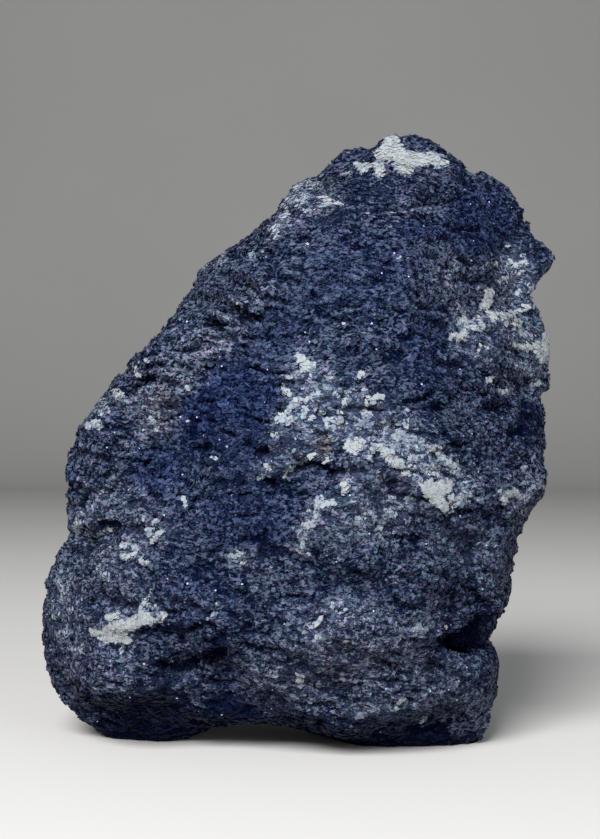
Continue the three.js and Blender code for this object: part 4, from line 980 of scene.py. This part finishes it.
def grains(name, rng, place, outward, half, fields, lean):
    """One mesh of many scales, each stretched by its half sizes, turned and made uneven.

    A scale's first axis is about level and its third points outwards, give or take `lean`. Each face
    has its own corner of an atlas with one cell for each scale: outer faces on its left, inner ones on
    its right."""
    count = len(place)
    level = unit(np.cross([0.0, 0.0, 1.0], outward) + [1e-6, 0, 0])
    turn = rng.normal(TURN, TURN_SPREAD, count)
    first = level * np.cos(turn)[:, None] + np.cross(outward, level) * np.sin(turn)[:, None]
    outward = unit(outward + lean * rng.normal(0, 1, (count, 3)))
    first = unit(first - outward * np.einsum("ij,ij->i", first, outward)[:, None])
    axes = np.stack([first, np.cross(outward, first), outward], 1)
    uneven = np.array(UNEVEN) * rng.uniform(-1, 1, (count, len(SCALE_POINTS), 3))
    shaped = SCALE_POINTS[None] * half[:, None, :] * (1 + uneven)
    p = place[:, None, :] + np.einsum("gvi,gij->gvj", shaped, axes)
    p[..., 2] = np.maximum(p[..., 2], CLEAR)
    faces = SCALE_FACES[None] + len(SCALE_POINTS) * np.arange(count)[:, None, None]
    side = int(np.ceil(np.sqrt(count)))
    cell = np.stack([np.arange(count) % side, np.arange(count) // side], 1)
    inner = (SCALE_FACES == np.argmin(SCALE_POINTS[:, 2])).any(1)
    spot = SCALE_POINTS[SCALE_FACES][..., :2] * SPOT_SIZE + OUTER_SPOT
    spot += inner[:, None, None] * np.array(INNER_SHIFT)
    corners = (cell[:, None, None, :] + spot[None]) / side
    spread = {key: np.repeat(values, len(SCALE_POINTS)) for key, values in fields.items()}
    piece = mesh_object(name, p.reshape(-1, 3), faces.reshape(-1, 3), spread, corners.reshape(-1, 2))
    piece.data.shade_flat()
    return piece


def crumb_finish():
    """The ore's blues by each crumb's own tone, with a little noise over it, and flakes painted bright as
    glints.
    """
    s = Shader("covellite_crumbs")
    fleck = s.noise(*CRUMB_NOISE)
    tone = s.plus(s.value("tone"), s.times(s.minus(fleck, 0.5), CRUMB_FLECKS))
    painted_glint = s.times(s.step(GLINT_FROM, GLINT_TONE, s.value("tone")), GLINT_SHARE)
    first, second = (linear(*paint) for paint in GLINT_PAINTS)
    glint_paint = s.mix(s.value("blue"), linear(*DEEP_GLINT), s.mix(s.value("hue"), first, second))
    return s.dress({
        "Base Color": s.mix(painted_glint, ore_colour(s, tone, s.value("hue")), glint_paint),
        "Roughness": s.minus(0.62, s.times(fleck, 0.2)),
        "Specular IOR Level": 0.12,
        "Specular Tint": BLUE_SHINE,
        "Normal": s.bump(fleck, 0.0001, 0.5),
    })


bare = np.clip(1 - rise(*CRUMBS_COVER, white) - gap_shade, 0, 1) * (1 - rise(*CRUMBS_CLEFT, cleft))
bare *= CRUMBS_BACK + MORE_FRONT * front
bare *= 1 - FEWER_SMOOTH * smooth
crumb_material = crumb_finish()
for name, (count, half, seed) in CRUMB_SETS.items():
    rng = np.random.default_rng(seed)
    place, outward, at = scatter(rng, count, bare)
    size = np.array(half) * np.minimum(rng.lognormal(0, SIZE_SPREAD, count), SIZE_MOST)[:, None]
    longer = np.clip(rng.lognormal(0, LONG_SPREAD, count), LONG_LEAST, LONG_MOST)
    size *= np.stack([longer, 1 / longer, np.ones(count)], 1) * (1 - FILM_SMALLER * at(film))[:, None]
    tone = rng.normal(CRUMB_TONE, CRUMB_TONE_SPREAD, count) + at(tone_shift)
    tone += CLUMP_TONE * noise(*(place.T / CLUMP_WAVE), CLUMP_SEED)
    # Crumbs in gaps and clefts and on the underside are darkened with painted shade.
    tone = np.clip(tone - TONE_GAPS * at(gap_shade) - CRUMB_UNDER_DARK * at(underside_shade), 0, 1)
    painted_glint = rng.random(count) < PAINTED_GLINTS
    tone[painted_glint], size[painted_glint] = GLINT_TONE, GLINT_HALF
    fields = {key: at(stone_fields[key]) for key in ("blue", "dust", "film", "rust")}
    fields.update(tone=tone, hue=rng.random(count))
    piece = grains(name, rng, place, outward, size, fields, CRUMB_LEAN)
    piece.data.materials.append(crumb_material)
    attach(piece, "root")

# ------------------------------------------------------------------ the crusts' grains
# White quartz and pale grey clay in grains about a quarter of a millimetre across, packed into crusts
# and thinly scattered over the grey film.

CRUST_GRAINS, CRUST_TRIES, CRUST_HALF, CRUST_SEED = 14000, 60000, (0.15, 0.11, 0.05), 211
CRUST_SIZE_SPREAD, CRUST_SIZE_MOST, CRUST_LEAN = 0.35, 2, 0.09
PATCH_WAVE, PATCH_SEED = 0.8, 109
CRUST_EDGE, EDGE_PATCHES, EDGE_STRAY = 0.75, 0.3, 0.15  # cover where grains begin, and how it strays
FILM_CHANCE, FILM_PATCHES, FILM_BARE = 0.5, (0.0, 0.8), 0.3  # how the film's grains are thinned out
# Tones: the greyest, what the film adds and its patches, what white crust adds, and how they spread;
# then the cover over which film ends and white begins.
GREY_TONE, FILM_TONE, FILM_TONE_PATCHES, WHITE_TONE, CRUST_TONE_SPREAD = 0.1, 0.3, 0.5, 0.75, 0.2
FILM_COVER, WHITE_COVER = (0.8, 0.4), (0.75, 1.2)
GREY_CLAY = [(76, 84, 100), (108, 115, 125)]
CLAY_TONES, CHALK_TONES = (0.0, 0.5), (0.4, 1.0)  # tones from dark to light clay, and from clay to chalk
CRUST_NOISE, CRUST_FLECKS = (5.0, 5.0, 2.0, 0.6), 0.3


def crust_finish():
    """Grey clay to white chalk by each grain's own tone."""
    s = Shader("crust_grains")
    fleck = s.noise(*CRUST_NOISE)
    tone = s.plus(s.value("tone"), s.times(s.minus(fleck, 0.5), CRUST_FLECKS))
    grey = s.blend(*CLAY_TONES, tone, *GREY_CLAY)
    return s.dress({
        "Base Color": s.mix(s.step(*CHALK_TONES, tone), grey, linear(*CHALK[1])),
        "Roughness": s.plus(0.6, s.times(fleck, 0.3)),
        "Specular IOR Level": 0.3,
    })


rng = np.random.default_rng(CRUST_SEED)
place, outward, at = scatter(rng, CRUST_TRIES, np.clip(white + FILM_CHANCE * film, 0, 1))
white_here, film_here = crusts_at(place)
patchy = noise(*(place.T / PATCH_WAVE), PATCH_SEED)
in_crust = white_here + EDGE_PATCHES * patchy + EDGE_STRAY * rng.normal(0, 1, CRUST_TRIES) > CRUST_EDGE
in_film = film_here * rise(*FILM_PATCHES, patchy) > rng.random(CRUST_TRIES) + FILM_BARE
keep = in_crust | in_film
keep &= np.cumsum(keep) <= CRUST_GRAINS
place, outward, white_here = place[keep], outward[keep], white_here[keep]
count = len(place)
sizes = np.minimum(rng.lognormal(0, CRUST_SIZE_SPREAD, count), CRUST_SIZE_MOST)
size = np.array(CRUST_HALF) * sizes[:, None]
on_film = (FILM_TONE + FILM_TONE_PATCHES * patchy[keep]) * rise(*FILM_COVER, white_here)
in_white = WHITE_TONE * rise(*WHITE_COVER, white_here)
tone = GREY_TONE + on_film + in_white + rng.normal(0, CRUST_TONE_SPREAD, count)
piece = grains("crust_grains", rng, place, outward, size, {"tone": np.clip(tone, 0, 1)}, CRUST_LEAN)
piece.data.materials.append(crust_finish())
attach(piece, "root")

# ------------------------------------------------------------------ the floor, the light and the camera
# A plain pale sheet that the stone stands on and that rises behind it, a large soft lamp above and
# to the left, and a weaker one at the right. None of it is part of the stone.

FLOOR_WIDE, FLOOR_FRONT, FLOOR_BACK, WALL_HIGH, SWEEP = 1.6, -0.6, 0.7, 0.9, 0.25
SWEEP_STEPS = 16
FLOOR_PAINTS = [(158, 157, 155), (166, 165, 163)]
FLOOR_CLOUDS = 0.006  # cells of its faint clouds in a millimetre
LIT_POINT = (0, 0, 0.03)
# Each lamp: where it hangs and how wide it is, in metres, its watts and its colour.
LAMPS = {
    "key": ((-0.13, -0.37, 0.33), 0.24, 7.5, (1.0, 1.0, 1.0)),
    "fill": ((0.34, -0.36, 0.14), 0.35, 1.8, (0.92, 0.96, 1.0)),
}
SKY, SKY_STRENGTH = (0.95, 0.97, 1.0, 1), 0.33
SENSOR, LENS, CAMERA_TILT = 36.0, 60.07, 0.84  # millimetres, and degrees upwards


def sweep_floor():
    """A sheet: level from front to back, a quarter circle of radius SWEEP, then upright."""
    turn = np.linspace(0, np.pi / 2, SWEEP_STEPS + 1)
    y = np.concatenate([[FLOOR_FRONT], FLOOR_BACK + SWEEP * np.sin(turn), [FLOOR_BACK + SWEEP]])
    z = np.concatenate([[0.0], SWEEP * (1 - np.cos(turn)), [WALL_HIGH]])
    x = np.array([-FLOOR_WIDE / 2, FLOOR_WIDE / 2])
    p = np.stack([np.repeat(x, len(y)), np.tile(y, 2), np.tile(z, 2)], 1)
    row = np.arange(len(y) - 1)
    faces = np.stack([row, row + len(y), row + len(y) + 1, row + 1], 1)
    sheet = mesh_object("floor", p * 1000, faces, {}, np.zeros((len(faces), 4, 2)))
    sheet.data.shade_smooth()
    s = Shader("floor_paint")
    first, second = (linear(*paint) for paint in FLOOR_PAINTS)
    tint = s.mix(s.noise(FLOOR_CLOUDS, FLOOR_CLOUDS), first, second)
    sheet.data.materials.append(s.dress({"Base Color": tint, "Roughness": 0.8}))
    return sheet


sweep_floor()
scene = bpy.context.scene
for name, (place, size, watts, colour) in LAMPS.items():
    data = bpy.data.lights.new(name, "AREA")
    data.energy, data.size, data.color = watts, size, colour
    lamp = bpy.data.objects.new(name, data)
    lamp.location = place
    lamp.rotation_euler = (Vector(place) - Vector(LIT_POINT)).to_track_quat("Z", "Y").to_euler()
    scene.collection.objects.link(lamp)
world = bpy.data.worlds.new("studio")
world.use_nodes = True
sky = world.node_tree.nodes["Background"]
sky.inputs["Color"].default_value = SKY
sky.inputs["Strength"].default_value = SKY_STRENGTH
scene.world = world
scene.view_settings.view_transform = "Standard"

camera_data = bpy.data.cameras.new("camera")
camera_data.sensor_width = SENSOR
camera_data.lens = LENS
camera = bpy.data.objects.new("camera", camera_data)
camera.location = [v * 0.001 for v in VIEW_FROM]
camera.rotation_euler = (np.radians(90 + CAMERA_TILT), 0, 0)
scene.collection.objects.link(camera)
scene.camera = camera
